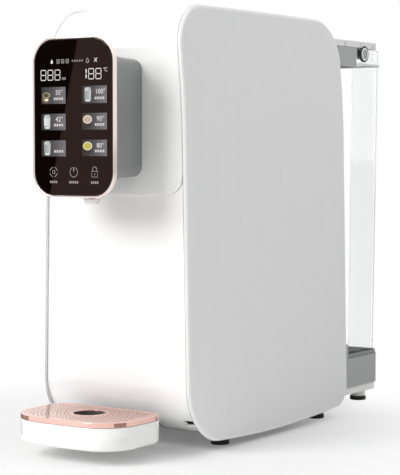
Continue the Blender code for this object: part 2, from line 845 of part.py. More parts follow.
def finger_notch(side):
    """Make the half-moon cutter that lets a finger behind a side panel's front foot corner."""
    inset = COVER_SET + COVER_WALL + GAP
    radius = CORNER_FRONT_FOOT - inset
    middle_y = deep(inset) + radius
    middle_z = BODY_FOOT + inset + radius
    angle = math.acos(1 - NOTCH_BEHIND / radius)
    y = middle_y - radius * math.cos(angle)
    z = middle_z - radius * math.sin(angle)
    centre = (side * cover_half(z), y, z)
    name = "notch_right" if side > 0 else "notch_left"
    tool = cylinder(name, (0.0, 0.0, 0.0), NOTCH_RADIUS, FRONT_WALL * 4, None, "Z", 20)
    tool.data.transform(Matrix.Diagonal((1.0, NOTCH_SQUASH_SHARE, 1.0, 1.0)))
    tilt = Matrix.Rotation(-(math.pi / 2 - angle), 4, "X") @ Matrix.Rotation(math.pi / 2, 4, "X")
    tool.data.transform(Matrix.Translation(centre) @ tilt)
    return tool


def bracket_slots():
    """Make the cutters for the tray bracket's two prongs."""
    tools = []
    for side in (-1, 1):
        name = "prong_slot_right" if side > 0 else "prong_slot_left"
        x = side * PRONG_ASIDE
        wide = PRONG_WIDTH / 2 + GAP
        high = PRONG_THICK / 2 + GAP
        tools.append(box(name, (x - wide, FRONT - PRONG_LENGTH, PRONG_HIGH - high),
                         (x + wide, deep(BELLY_REACH), PRONG_HIGH + high), None))
    return tools


def make_rear_panel():
    """Make the rear panel with its vents, from the top cover's seam to the foot."""
    inset = COVER_SET
    rear = behind(-inset)
    low = BODY_FOOT + inset
    radius = CORNER_REAR_FOOT - inset
    path = [(rear, REAR_SEAM - GAP), (rear, (REAR_SEAM + low) / 2)]
    path += arc(rear - radius, low + radius, radius, 0, -90, 5)
    panel = strip("rear_panel", path, COVER_WALL, WHITE, (0.0, 1.0, 0.0))
    for step in range(VENT_COUNT):
        z = VENT_LOW + step * VENT_PITCH
        vent = box("vent_%d" % (step + 1), (-VENT_LENGTH / 2, rear - COVER_WALL - CUT_OVER, z),
                   (VENT_LENGTH / 2, rear + CUT_OVER, z + VENT_WIDTH), None)
        cut(panel, vent)
    hole = inlet_block("inlet_hole", rear - COVER_WALL - CUT_OVER, rear + CUT_OVER, GAP)
    port = cylinder("coupling_hole", (0.0, rear, PIPE_HIGH), HOSE_RADIUS * 2, COVER_WALL * 6, None, "Y", 16)
    return cut(panel, hole, port)


def inlet_block(name, front, rear, grow, material=None):
    """Make a box about the inlet's middle between two Y places, grown or shrunk from the socket's size."""
    wide = INLET_WIDTH / 2 + grow
    high = INLET_HEIGHT / 2 + grow
    low = (-INLET_ASIDE - wide, front, INLET_HIGH - high)
    return box(name, low, (-INLET_ASIDE + wide, rear, INLET_HIGH + high), material)


def make_power_inlet():
    """Make the mains inlet: a flanged socket with three pins, for a lead that is not drawn."""
    rear = behind(-COVER_SET)
    face = rear + GAP + INLET_FLANGE
    inlet = inlet_block("power_inlet", rear - INLET_DEPTH, face - INLET_FLANGE / 2, 0.0, DARK_GREY)
    flange = inlet_block("inlet_flange", rear + GAP, face, INLET_FLANGE)
    well = inlet_block("inlet_well", face - INLET_RECESS, face + CUT_OVER, -INLET_FLANGE)
    join(inlet, flange)
    cut(inlet, well)
    base = face - INLET_RECESS - INLET_FLANGE / 2
    for number, (aside, up) in enumerate(((-1, 1), (1, 1), (0, -1))):
        x = -INLET_ASIDE + aside * INLET_PIN_APART
        z = INLET_HIGH + up * INLET_PIN_RISE
        pin = box("inlet_pin_%d" % (number + 1), (x - INLET_PIN / 2, base, z - INLET_PIN),
                  (x + INLET_PIN / 2, face - INLET_FLANGE, z + INLET_PIN), None)
        join(inlet, pin)
    return inlet


# Base, feet and frames

def foot_places():
    """Return the X and Y of the four stubs under the body."""
    return [(side * FOOT_ASIDE, y) for side in (1, -1) for y in (deep(FOOT_FRONT), behind(-FOOT_REAR))]


def rear_foot_places():
    """Return the X and Y of the two stubs under the tank's plinth."""
    return [(side * REAR_FOOT_ASIDE, behind(SEAT_REAR - REAR_FOOT_SET)) for side in (1, -1)]


def make_base_pan():
    """Make the base pan with its four moulded foot stubs."""
    front = deep(BELLY_REACH) + GAP
    rear = behind(-CORNER_REAR_FOOT) - GAP
    pan = box("base_pan", (-PAN_HALF, front, UNDERSIDE), (PAN_HALF, rear, PAN_TOP), GREY)
    for number, spot in enumerate(foot_places()):
        join(pan, stub("stub_%d" % (number + 1), spot, UNDERSIDE + PAN_WALL / 2))
    return pan


def stub(name, spot, high):
    """Make one round stub that stands on a rubber pad."""
    low = PAD_HEIGHT + GAP
    return cylinder(name, (*spot, (low + high) / 2), STUB_RADIUS, high - low, None, "Z", 14)


def make_feet():
    """Make the six rubber pads: four under the body and two under the tank's plinth."""
    profile = [(0.0, PAD_HEIGHT), (PAD_RADIUS, PAD_HEIGHT), (PAD_RADIUS, PAD_EDGE),
               (PAD_RADIUS - PAD_EDGE, 0.0), (0.0, 0.0)]
    for number, (x, y) in enumerate(foot_places() + rear_foot_places()):
        turned("foot_pad_%d" % (number + 1), profile, (x, y, 0.0), RUBBER, steps=14)


def frame_rows(side, inset, setback):
    """Return the grid of an upright sheet that follows the side view, moved in by an inset."""
    low = BODY_FOOT + inset
    high = BODY_TOP - inset
    foot_steps = corner_steps(CORNER_FRONT_FOOT - inset, 4)
    heights = graded(low, high, foot_steps, corner_steps(CORNER_FRONT_TOP - inset, 4), 2)
    rows = []
    for height in heights:
        front, rear = side_span(height, inset)
        rows.append([(side * (half_width(height) - setback), front + (rear - front) * step / 2, height)
                     for step in range(3)])
    return rows


def make_side_frames():
    """Make the two upright frames that the panels and covers clip to."""
    for side, word in ((1, "right"), (-1, "left")):
        frame = sheet("side_frame_" + word, frame_rows(side, FRAME_INSET, FRAME_SET), FRAME_WALL, PEARL,
                      (side, 0.0, 0.0))
        left, right = sorted((side * (BODY_HALF + CUT_OVER), side * (ROOM_HALF - CUT_OVER)))
        spans = [(BAY_LOW, BAY_HIGH)]
        if side < 0:
            spans = [(BAY_LOW, BAY_LOW + WINDOW_HEIGHT), (BAY_HIGH - WINDOW_HEIGHT, BAY_HIGH)]
        for number, (low, high) in enumerate(spans):
            window = box("window_%s_%d" % (word, number + 1), (left, deep(BAY_FRONT), low),
                         (right, behind(-BAY_REAR), high), None)
            cut(frame, window)
        cut(frame, *lugs("frame_" + word, side, GAP))


def make_middle_wall():
    """Make the upright wall that carries the pump, heater, boards and filter head."""
    low_steps = corner_steps(CORNER_FRONT_FOOT - MID_INSET, 3)
    high_steps = corner_steps(CORNER_FRONT_TOP - MID_INSET, 3)
    fronts = []
    rears = []
    for height in graded(PAN_TOP + GAP, BODY_TOP - MID_INSET, low_steps, high_steps, 0):
        front, rear = side_span(max(height, BODY_FOOT + MID_INSET), MID_INSET)
        fronts.append((front, height))
        rears.append((rear, height))
    wall = slab("middle_wall", fronts + rears[::-1], -MID_WALL, 0.0, PEARL, "X")
    window = box("hose_pass", (-MID_WALL * 2, deep(PASS_BACK), PASS_HIGH),
                 (MID_WALL, deep(PASS_BACK + PASS_WIDTH), PASS_HIGH + PASS_HEIGHT), None)
    notch = box("bracket_space", (-MID_WALL * 2, deep(-CUT_OVER), 0.0),
                (MID_WALL, deep(BELLY_REACH) + BRACKET_HEIGHT * 2, PAN_TOP + BRACKET_HEIGHT * 2), None)
    return cut(wall, window, notch)


# Head

def head_ring(out, half_wide, half_high, corner, steps=4):
    """Return a rounded rectangle round the head's centre, this far in front of the body."""
    outline = rounded(half_wide, -half_high, half_high, corner, corner, steps)
    return [(x, deep(-out), HEAD_CENTRE + z) for x, z in outline]


def housing_rings(wall, over):
    """Return the housing's sections from neck to bezel, moved in by a wall and longer by an amount."""
    bezel_back = GLASS_OUT + BEZEL_PROUD - BEZEL_DEPTH
    rings = []
    for share, out in HOUSING_SHARES:
        reach = out * (bezel_back - GAP)
        taper = HOUSING_SHRINK * out * (1 - share)
        spot = reach
        if out == 0.0:
            spot = reach - over
        if out == 1.0:
            spot = reach + over
        wide = NECK_HALF_WIDTH + share * (GLASS_HALF_WIDTH - NECK_HALF_WIDTH) + taper - wall
        tall = NECK_HALF_HEIGHT + share * (GLASS_HALF_HEIGHT - NECK_HALF_HEIGHT) + taper - wall
        rings.append(head_ring(spot, wide, tall, NECK_CORNER + share * (GLASS_CORNER - NECK_CORNER) - wall))
    return rings


def make_head():
    """Make the head: a dished housing, the bezel, the touch glass and its board."""
    bezel_back = GLASS_OUT + BEZEL_PROUD - BEZEL_DEPTH
    housing = loft("head_housing", housing_rings(0.0, 0.0), GREY, 40)
    hollow = loft("housing_hollow", housing_rings(HOUSING_WALL, CUT_OVER), None)
    under = SPOUT_TOP + SEAL_HIGH + GAP * 2
    stem = cylinder("stem_hole", (0.0, deep(-SPOUT_OUT), under), STEM_RADIUS + GAP, HOUSING_WALL * 6, None,
                    "Z", 20)
    flat = cylinder("seal_flat", (0.0, deep(-SPOUT_OUT), under - HOUSING_WALL * 2), SEAL_RADIUS + GAP,
                    HOUSING_WALL * 4, None, "Z", 20)
    cut(housing, hollow, stem, flat)
    make_bezel(bezel_back)
    glass = face_slab("display_glass", 0.0, -GLASS_OUT, -GLASS_OUT + GLASS_THICK, BLACK_GLASS)
    bevel(glass, GLASS_EDGE, 1)
    make_display_board(bezel_back)


def face_slab(name, grow, near, far, material=None):
    """Make a slab of the glass's outline, grown or shrunk, between two depths in front of the body."""
    ring = head_ring(0.0, GLASS_HALF_WIDTH + grow, GLASS_HALF_HEIGHT + grow, GLASS_CORNER + grow)
    return slab(name, [(x, z) for x, y, z in ring], deep(near), deep(far), material, "Y")


def make_bezel(bezel_back):
    """Make the rose-gold rim that holds the glass on a ledge."""
    proud = -GLASS_OUT - BEZEL_PROUD
    bezel = face_slab("head_bezel", BEZEL_RIM, proud, -bezel_back, ROSE_GOLD)
    bevel(bezel, BEZEL_EDGE)
    pocket = face_slab("glass_pocket", GAP, proud - CUT_OVER, -GLASS_OUT + GLASS_THICK + GAP)
    window = face_slab("bezel_window", -BEZEL_LEDGE, -GLASS_OUT, -bezel_back + CUT_OVER)
    return cut(bezel, pocket, window)


def make_display_board(bezel_back):
    """Make the display's board with its two chips, behind the bezel."""
    face = -bezel_back + GAP
    board = face_slab("display_board", -HOUSING_WALL - BOARD_MARGIN, face, face + BOARD_THICK, BOARD_GREEN)
    for number, up in enumerate((-1, 1)):
        z = HEAD_CENTRE + up * BOARD_CHIP * 2
        chip = box("board_chip_%d" % (number + 1),
                   (-BOARD_CHIP, deep(face + BOARD_THICK / 2), z - BOARD_CHIP / 2),
                   (BOARD_CHIP, deep(face + BOARD_THICK + BOARD_CHIP_HIGH), z + BOARD_CHIP / 2), None)
        join(board, chip)
    return board


def make_spout():
    """Make the stepped spout, its tip and its seal under the head."""
    centre = (0.0, deep(-SPOUT_OUT), 0.0)
    top = SPOUT_TOP
    step = SPOUT_STEP - GAP
    under = top + GAP + SEAL_HIGH
    collar = TIP_RADIUS + SPOUT_CHAMFER / 2
    turned("nozzle_body",
           [(SPOUT_BORE, STEM_TOP), (STEM_RADIUS, STEM_TOP), (STEM_RADIUS, top), (SPOUT_RADIUS, top),
            (SPOUT_RADIUS, SPOUT_STEP + SPOUT_CHAMFER), (SPOUT_RADIUS - SPOUT_CHAMFER, SPOUT_STEP),
            (SPOUT_BORE, SPOUT_STEP), (SPOUT_BORE, STEM_TOP)], centre, CHROME, steps=16)
    turned("nozzle_tip",
           [(SPOUT_BORE, step), (collar, step), (collar, SPOUT_STEP - SPOUT_CHAMFER),
            (TIP_RADIUS, SPOUT_STEP - SPOUT_CHAMFER), (TIP_RADIUS - SPOUT_CHAMFER / 2, SPOUT_LOW),
            (SPOUT_BORE, SPOUT_LOW), (SPOUT_BORE, step)], centre, CHROME, steps=16)
    turned("nozzle_seal",
           [(STEM_RADIUS + GAP, under), (SEAL_RADIUS, under), (SEAL_RADIUS, top + GAP),
            (STEM_RADIUS + GAP, top + GAP), (STEM_RADIUS + GAP, under)], centre, RUBBER, steps=16)


# Drip tray

def tray_outline(grow=0.0, steps=6):
    """Return the tray's plan, grown or shrunk by an amount."""
    return rounded(TRAY_HALF + grow, deep(-TRAY_REACH + TRAY_FRONT_BOW) - grow, deep(-GAP * 2) + grow,
                   TRAY_FRONT_CORNER + grow, TRAY_REAR_CORNER + grow, steps, TRAY_FRONT_BOW)


def make_tray():
    """Make the white tray with its two channels for the bracket's prongs."""
    shelf = TRAY_TOP - TRAY_BAND
    tray = slab("tray_body", tray_outline(), TRAY_FOOT, shelf - GAP, WHITE)
    bevel(tray, TRAY_EDGE, 2)
    tray.modifiers[-1].limit_method = "WEIGHT"
    weigh_low_edges(tray, TRAY_FOOT)
    floor = TRAY_FOOT + TRAY_FLOOR
    cut(tray, slab("tray_hollow", tray_outline(-TRAY_WALL, 5), floor, shelf + CUT_OVER, None))
    for side in (-1, 1):
        word = "right" if side > 0 else "left"
        x = side * PRONG_ASIDE
        wide = PRONG_WIDTH / 2 + GAP
        high = PRONG_THICK / 2 + GAP
        back = deep(-GAP * 2)
        runner = box("runner_" + word,
                     (x - wide - RUNNER_WALL, back - PRONG_LENGTH - RUNNER_WALL, floor - TRAY_FLOOR / 2),
                     (x + wide + RUNNER_WALL, back - TRAY_WALL / 2, PRONG_HIGH + high + RUNNER_WALL), None)
        channel = box("channel_" + word, (x - wide, back - PRONG_LENGTH - GAP, PRONG_HIGH - high),
                      (x + wide, back + CUT_OVER, PRONG_HIGH + high), None)
        join(tray, runner)
        cut(tray, channel)
    make_tray_cover(shelf)
    make_drain_cup(TRAY_FOOT + TRAY_FLOOR + GAP, TRAY_TOP - COVER_PLATE - GAP)


def weigh_low_edges(piece, height):
    """Mark the edges that lie at a height for a bevel by weight."""
    mesh = piece.data
    marks = mesh.attributes.new("bevel_weight_edge", "FLOAT", "EDGE")
    for edge in mesh.edges:
        heights = [mesh.vertices[point].co.z for point in edge.vertices]
        low = all(abs(value - height) < GAP / 10 for value in heights)
        marks.data[edge.index].value = 1.0 if low else 0.0


def make_tray_cover(shelf):
    """Make the cover: a band, a thin plate with fanned slots round the drain hole, and a locating lip."""
    cover = slab("tray_cover", tray_outline(), shelf, TRAY_TOP, ROSE_GOLD)
    bevel(cover, COVER_EDGE, 1)
    low = shelf - LIP_HEIGHT
    join(cover, slab("cover_lip", tray_outline(-TRAY_WALL - GAP, 5), low, shelf + CUT_OVER / 2, None))
    inner = tray_outline(-TRAY_WALL - GAP - LIP_WALL, 5)
    cut(cover, slab("cover_hollow", inner, low - CUT_OVER, TRAY_TOP - COVER_PLATE, None))
    middle = (0.0, deep(-DRAIN_AHEAD), TRAY_TOP)
    return cut(cover, cylinder("drain_hole", middle, DRAIN_RADIUS, TRAY_BAND, None, "Z", 24), slot_cutter())


def make_drain_cup(low, high):
    """Make the dark cup that stands in the tray under the cover's round hole."""
    floor = low + DRAIN_CUP_FLOOR
    outer = DRAIN_RADIUS + DRAIN_CUP_WALL
    turned("drain_cup",
           [(0.0, low), (outer, low), (outer, high), (DRAIN_RADIUS, high), (DRAIN_RADIUS, floor),
            (0.0, floor)], (0.0, deep(-DRAIN_AHEAD), 0.0), DARK_GREY, steps=24)


def slot_cutter():
    """Make one tool of all the slots: rings of radial slots that fan out like spiral arms."""
    field = COVER_BORDER + SLOT_MARGIN
    low = deep(-TRAY_REACH) + field
    high = deep(-GAP * 2) - field
    side = TRAY_HALF - field
    shape = bmesh.new()
    for ring in range(SLOT_RINGS):
        radius = SLOT_FIRST + ring * SLOT_RING_STEP
        for arm in range(SLOT_ARMS):
            angle = 2 * math.pi * (arm + SLOT_TWIST_SHARE * ring) / SLOT_ARMS
            x = radius * math.cos(angle)
            y = deep(-DRAIN_AHEAD) + radius * math.sin(angle)
            if abs(x) > side or not low < y < high or near_corner(x, y, side, low, high):
                continue
            turn = Matrix.Translation((x, y, TRAY_TOP)) @ Matrix.Rotation(angle + SLOT_SLANT, 4, "Z")
            size = Matrix.Diagonal((SLOT_LENGTH, SLOT_WIDTH, TRAY_BAND, 1.0))
            bmesh.ops.create_cube(shape, size=1.0, matrix=turn @ size)
    return from_bmesh("slot_cutter", shape, None)


def near_corner(x, y, side, low, high):
    """Say whether a point is cut off by the plan's round corners."""
    front = TRAY_FRONT_CORNER - COVER_BORDER
    rear = TRAY_REAR_CORNER - COVER_BORDER
    if y < low + front and abs(x) > side - front:
        return math.hypot(abs(x) - side + front, low + front - y) > front
    if y > high - rear and abs(x) > side - rear:
        return math.hypot(abs(x) - side + rear, y - high + rear) > rear
    return False


def make_tray_bracket():
    """Make the steel bracket behind the front panel whose two prongs carry the tray."""
    inset = COVER_SET + COVER_WALL + GAP + FRONT_WALL
    radius = CORNER_FRONT_FOOT - inset
    middle_z = BODY_FOOT + inset + radius
    wall_y = deep(inset) + radius - math.sqrt(radius ** 2 - (middle_z - PRONG_HIGH) ** 2)
    back = wall_y + BRACKET_HEIGHT
    half = BRACKET_WIDTH / 2
    low = PAN_TOP + GAP
    plate = box("tray_bracket", (-half, back, low),
                (half, back + BRACKET_THICK, low + BRACKET_HEIGHT), STEEL)
    foot = box("bracket_foot", (-half, back + BRACKET_THICK / 2, low),
               (half, deep(BELLY_REACH) + BRACKET_HEIGHT, low + BRACKET_THICK), None)
    join(plate, foot)
    front = deep(-GAP * 2) - PRONG_LENGTH
    for side in (-1, 1):
        x = side * PRONG_ASIDE
        word = "right" if side > 0 else "left"
        prong = box("prong_" + word, (x - PRONG_WIDTH / 2, front, PRONG_HIGH - PRONG_THICK / 2),
                    (x + PRONG_WIDTH / 2, back + BRACKET_THICK / 2, PRONG_HIGH + PRONG_THICK / 2), None)
        join(plate, prong)
    return plate


# Seat of the tank

def seat_outline(inset, front, steps=5):
    """Return the seat's plan from a front place to its round rear end."""
    return rounded(SEAT_HALF - inset, front, behind(SEAT_REAR) - inset, GAP * 2, SEAT_CORNER - inset, steps)


def make_seat():
    """Make the plinth and the grey seat with its pocket, its duct and the shaft for the coupling."""
    front = behind(GAP)
    plinth = slab("tank_plinth", seat_outline(PLINTH_INSET, front), PLINTH_LOW, SEAT_LOW - GAP, WHITE)
    for number, spot in enumerate(rear_foot_places()):
        join(plinth, stub("plinth_stub_%d" % (number + 1), spot, PLINTH_LOW + PLINTH_INSET))

    seat = slab("tank_seat", seat_outline(0.0, front), SEAT_LOW, SEAT_TOP, GREY)
    bridge_back = behind(SEAT_BRIDGE)
    bridge = box("seat_bridge", (-SEAT_HALF, front, SEAT_LOW + SEAT_WALL),
                 (SEAT_HALF, bridge_back, SEAT_BRIDGE_TOP), None)
    join(seat, bridge)
    pocket = slab("seat_pocket", pocket_outline(GAP * 2, bridge_back + GAP), SEAT_FLOOR,
                  SEAT_BRIDGE_TOP + CUT_OVER, None)
    shaft = cylinder("coupling_shaft", (0.0, behind(VALVE_BEHIND), SEAT_FLOOR - COUPLING_DEEP / 2),
                     COUPLING_RADIUS + GAP, COUPLING_DEEP + CUT_OVER, None, "Z", 20)
    duct = cylinder("seat_duct", (0.0, (front + behind(VALVE_BEHIND)) / 2, PIPE_HIGH), HOSE_RADIUS + GAP,
                    behind(VALVE_BEHIND) - front + GAP * 4, None, "Y", 12)
    cut(seat, pocket, shaft, duct)

    lip = slab("seat_lip", seat_outline(LIP_INSET, bridge_back + GAP), SEAT_TOP + GAP, LIP_TOP, DARK_GREY)
    inner = pocket_outline(GAP * 3, bridge_back - CUT_OVER)
    cut(lip, slab("lip_hole", inner, SEAT_TOP, LIP_TOP + CUT_OVER, None))
    make_coupling()


def pocket_outline(room, front):
    """Return the plan of the space that the tank's foot drops into, larger than the tank by some room."""
    return rounded(TANK_HALF_LOW + room, front, behind(TANK_REAR_LOW) + room, TANK_CORNER, TANK_CORNER, 5)


def make_coupling():
    """Make the seat's open cup, whose post lifts the valve's poppet when the tank stands on the seat."""
    base = SEAT_FLOOR - COUPLING_DEEP
    tip = TANK_LOW - VALVE_DROP - GAP
    rim = tip - COUPLING_RIM * 3
    bore = COUPLING_RADIUS - COUPLING_RIM
    turned("seat_coupling",
           [(0.0, tip), (COUPLING_POST, tip), (COUPLING_POST, base + COUPLING_RIM),
            (bore, base + COUPLING_RIM), (bore, rim), (COUPLING_RADIUS, rim), (COUPLING_RADIUS, base + GAP),
            (0.0, base + GAP)],
           (0.0, behind(VALVE_BEHIND), 0.0), DARK_GREY, steps=20)


# Tank

def tank_outline(height, inset=0.0, steps=4):
    """Return the tank's plan at a height: it widens a little towards the top."""
    share = (height - TANK_LOW) / (TANK_TOP - TANK_LOW)
    half = TANK_HALF_LOW + (TANK_HALF_HIGH - TANK_HALF_LOW) * share - inset
    rear = behind(TANK_REAR_LOW + (TANK_REAR_HIGH - TANK_REAR_LOW) * share) - inset
    return rounded(half, behind(TANK_FRONT) + inset, rear, TANK_CORNER - inset, TANK_CORNER - inset, steps)


def flap_scoop():
    """Make the half-ring tool that clears the flap's front edge in the tank's sides, round the pivots."""
    y = behind(PIVOT_BEHIND)
    reach = FLAP_ARC * 2
    scoop = cylinder("flap_scoop", (0.0, y, PIVOT_HIGH), FLAP_ARC + GAP, COVER_HALF * 3, None, "X", 28)
    boss = cylinder("pivot_boss", (0.0, y, PIVOT_HIGH), BOSS_RADIUS, COVER_HALF * 4, None, "X", 16)
    rear = box("scoop_rear", (-COVER_HALF * 2, y, PIVOT_HIGH - reach),
               (COVER_HALF * 2, y + reach, PIVOT_HIGH + reach), None)
    under = box("scoop_under", (-COVER_HALF * 2, y - reach, PIVOT_HIGH - reach),
                (COVER_HALF * 2, y + reach, PIVOT_HIGH - SCOOP_DEEP), None)
    return cut(scoop, boss, rear, under)


def tank_ring(height, inset=0.0):
    """Return the tank's plan as a ring of points at its height."""
    return [(x, y, height) for x, y in tank_outline(height, inset)]


def make_tank():
    """Make the clear tank wall, open at the top, with holes for the valve and the flap's pivots."""
    rings = [tank_ring(TANK_LOW, TANK_BOTTOM_ROUND), tank_ring(TANK_LOW + TANK_BOTTOM_ROUND),
             tank_ring(TANK_TOP)]
    wall = loft("tank_wall", rings, CLEAR, 40, caps="first")
    skin = wall.modifiers.new("wall", "SOLIDIFY")
    skin.thickness = TANK_WALL
    skin.offset = -1.0
    skin.use_even_offset = True
    drain = cylinder("valve_hole", (0.0, behind(VALVE_BEHIND), TANK_LOW), VALVE_NECK + GAP, TANK_WALL * 4,
                     None, "Z", 20)
    pins = cylinder("pin_holes", (0.0, behind(PIVOT_BEHIND), PIVOT_HIGH), PIN_RADIUS + GAP,
                    TANK_HALF_HIGH * 3, None, "X", 16)
    cut(wall, drain, pins, flap_scoop())

    band = slab("tank_band", tank_outline(BAND_LOW, -BAND_OUT - GAP), BAND_LOW, BAND_HIGH, PEARL)
    inner = tank_outline(BAND_HIGH, -GAP)
    cut(band, slab("band_hole", inner, BAND_LOW - CUT_OVER, BAND_HIGH + CUT_OVER, None))
    make_tank_top()


def make_tank_top():
    """Make the grey grip that wraps the tank's front, grooved for the band, and the cover's fixed half."""
    grip = slab("tank_grip",
                rounded(COVER_HALF - GAP, behind(GRIP_FRONT), behind(GRIP_REAR), GRIP_CORNER, GAP * 2, 4),
                GRIP_LOW, COVER_LOW - GAP, GREY)
    around = slab("grip_tank_space", tank_outline(TANK_TOP, -GAP), GRIP_LOW - CUT_OVER, COVER_TOP, None)
    groove = slab("grip_band_space", tank_outline(BAND_HIGH, -BAND_OUT - GAP * 2), BAND_LOW - GAP,
                  BAND_HIGH + GAP, None)
    side = COVER_HALF - GRIP_WALL * 2
    hand = box("grip_hand_space", (-side, behind(GRIP_FRONT) + GRIP_WALL, GRIP_LOW - CUT_OVER),
               (side, behind(TANK_FRONT) - GRIP_WALL, COVER_LOW - GRIP_WALL * 2), None)
    cut(grip, around, groove, hand)

    top = slab("tank_top_cover", cover_outline(), COVER_LOW, COVER_TOP, PEARL)
    sweep = flap_knuckle("cover_end", FLAP_ARC + GAP)
    cut(top, sweep, *nicks("cover_nick", (NICK_FRONT, NICK_SEAM)))


def cover_outline():
    """Return the plan of the whole white top, fixed half and flap together."""
    return rounded(COVER_HALF, behind(COVER_FRONT), behind(COVER_REAR), GAP * 2, COVER_CORNER, 4)


def flap_knuckle(name, radius):
    """Make the tool that holds the flap's half: all behind the pivot, rounded about it in front."""
    y = behind(PIVOT_BEHIND)
    around = cylinder(name, (0.0, y, PIVOT_HIGH), radius, COVER_HALF * 3, None, "X", 28)
    rear = box(name + "_rear", (-COVER_HALF * 2, y, PIVOT_HIGH - radius * 2),
               (COVER_HALF * 2, behind(COVER_REAR) + CUT_OVER, PIVOT_HIGH + radius * 2), None)
    return join(around, rear)


def nicks(name, places):
    """Make the small upright cuts along both sides of the white top."""
    tools = []
    for number, place_behind in enumerate(places):
        front = behind(place_behind)
        for side in (-1, 1):
            edge = side * COVER_HALF
            tools.append(box("%s_%d_%s" % (name, number + 1, "right" if side > 0 else "left"),
                             (edge - NICK_DEPTH, front, COVER_LOW - CUT_OVER),
                             (edge + NICK_DEPTH, front + NICK_WIDTH, COVER_TOP + CUT_OVER), None))
    return tools


def make_flap():
    """Make the filling flap: the rear half of the white top, with an ear on each side for its pivot."""
    flap = slab("tank_flap", cover_outline(), COVER_LOW, COVER_TOP, PEARL)
    combine(flap, flap_knuckle("flap_round", FLAP_ARC), "INTERSECT")
    cut(flap, *nicks("flap_nick", (NICK_SEAM, NICK_REAR)))
    y = behind(PIVOT_BEHIND)
    for side in (-1, 1):
        word = "right" if side > 0 else "left"
        outer = TANK_HALF_HIGH - TANK_WALL - EAR_INSET
        low_x, high_x = sorted((side * outer, side * (outer - EAR_THICK)))
        ear = box("ear_" + word, (low_x, y - EAR_RADIUS, PIVOT_HIGH),
                  (high_x, y + EAR_RADIUS, COVER_TOP - COVER_THICK / 2), None)
        middle = ((low_x + high_x) / 2, y, PIVOT_HIGH)
        eye = cylinder("eye_" + word, middle, EAR_RADIUS, EAR_THICK, None, "X", 20)
        join(flap, ear, eye)
    bore = cylinder("ear_bore", (0.0, y, PIVOT_HIGH), PIN_RADIUS + GAP, TANK_HALF_HIGH * 3, None, "X", 16)
    cut(flap, bore)
    for side in (-1, 1):
        word = "right" if side > 0 else "left"
        middle = (side * (TANK_HALF_HIGH + GAP + KNOB_SPACE / 2), y, PIVOT_HIGH)
        cut(flap, cylinder("knob_space_" + word, middle, KNOB_RADIUS + GAP, KNOB_SPACE, None, "X", 24))
        make_pivot(side)


def make_pivot(side):
    """Make one pivot: a pin through the tank's side and the flap's ear, with a dished round head."""
    word = "right" if side > 0 else "left"
    rest = TANK_HALF_HIGH + GAP * 2
    inner = TANK_HALF_HIGH - TANK_WALL - EAR_INSET - EAR_THICK
    head = rest + KNOB_THICK
    profile = [(0.0, head - KNOB_DISH_DEEP), (KNOB_DISH, head - KNOB_DISH_DEEP), (KNOB_DISH, head),
               (KNOB_RADIUS - KNOB_EDGE, head), (KNOB_RADIUS, head - KNOB_EDGE), (KNOB_RADIUS, rest),
               (PIN_RADIUS, rest), (PIN_RADIUS, inner), (0.0, inner)]
    middle = (0.0, behind(PIVOT_BEHIND), PIVOT_HIGH)
    pivot = turned("flap_pivot_" + word, profile, middle, DARK_GREY, "X", 14)
    if side < 0:
        pivot.data.transform(Matrix.Diagonal((-1.0, 1.0, 1.0, 1.0)))
        pivot.data.flip_normals()
    return pivot


def make_tank_valve():
    """Make the valve in the tank's floor: a caged body, a poppet held open by the seat's post, a spring."""
    centre = (0.0, behind(VALVE_BEHIND), 0.0)
    floor = TANK_LOW + TANK_WALL + GAP
    seat = floor + VALVE_FLANGE_THICK
    cage = seat + VALVE_CAGE
    neck = TANK_LOW - VALVE_DROP / 2
    body = turned("valve_body",
                  [(VALVE_LIP, cage), (VALVE_NECK, cage), (VALVE_NECK, seat), (VALVE_FLANGE, seat),
                   (VALVE_FLANGE, floor), (VALVE_NECK, floor), (VALVE_NECK, neck), (VALVE_THROAT, neck),
                   (VALVE_THROAT, floor), (VALVE_BORE, floor), (VALVE_BORE, cage - VALVE_RIM),
                   (VALVE_LIP, cage - VALVE_RIM), (VALVE_LIP, cage)], centre, PEARL, steps=16)
    y = behind(VALVE_BEHIND)
    for number, (wide, long) in enumerate(((VALVE_FLANGE, VALVE_WINDOW), (VALVE_WINDOW, VALVE_FLANGE))):
        cut(body, box("valve_window_%d" % (number + 1), (-wide, y - long, seat + VALVE_RIM),
                      (wide, y + long, cage - VALVE_RIM * 2), None))
    low = floor + POPPET_TRAVEL
    top = low + POPPET_THICK
    turned("valve_poppet",
           [(0.0, top + POPPET_THICK), (POPPET_STEM, top + POPPET_THICK), (POPPET_STEM, top),
            (VALVE_BORE - GAP, top), (VALVE_BORE - GAP, low), (POPPET_STEM, low),
            (POPPET_STEM, TANK_LOW - VALVE_DROP), (0.0, TANK_LOW - VALVE_DROP)],
           centre, DARK_GREY, steps=16)
    make_valve_spring(top + SPRING_WIRE + GAP, cage - VALVE_RIM - SPRING_WIRE - GAP)


def make_valve_spring(low, high):
    """Wind the valve's spring between two heights."""
    count = SPRING_TURNS * SPRING_STEPS
    route = []
    for step in range(count + 1):
        angle = 2 * math.pi * step / SPRING_STEPS
        y = behind(VALVE_BEHIND) + SPRING_RADIUS * math.sin(angle)
        route.append(Vector((SPRING_RADIUS * math.cos(angle), y, low + (high - low) * step / count)))
    wire("valve_spring", route, SPRING_WIRE, STEEL, 1)


# Hydraulics and electrics

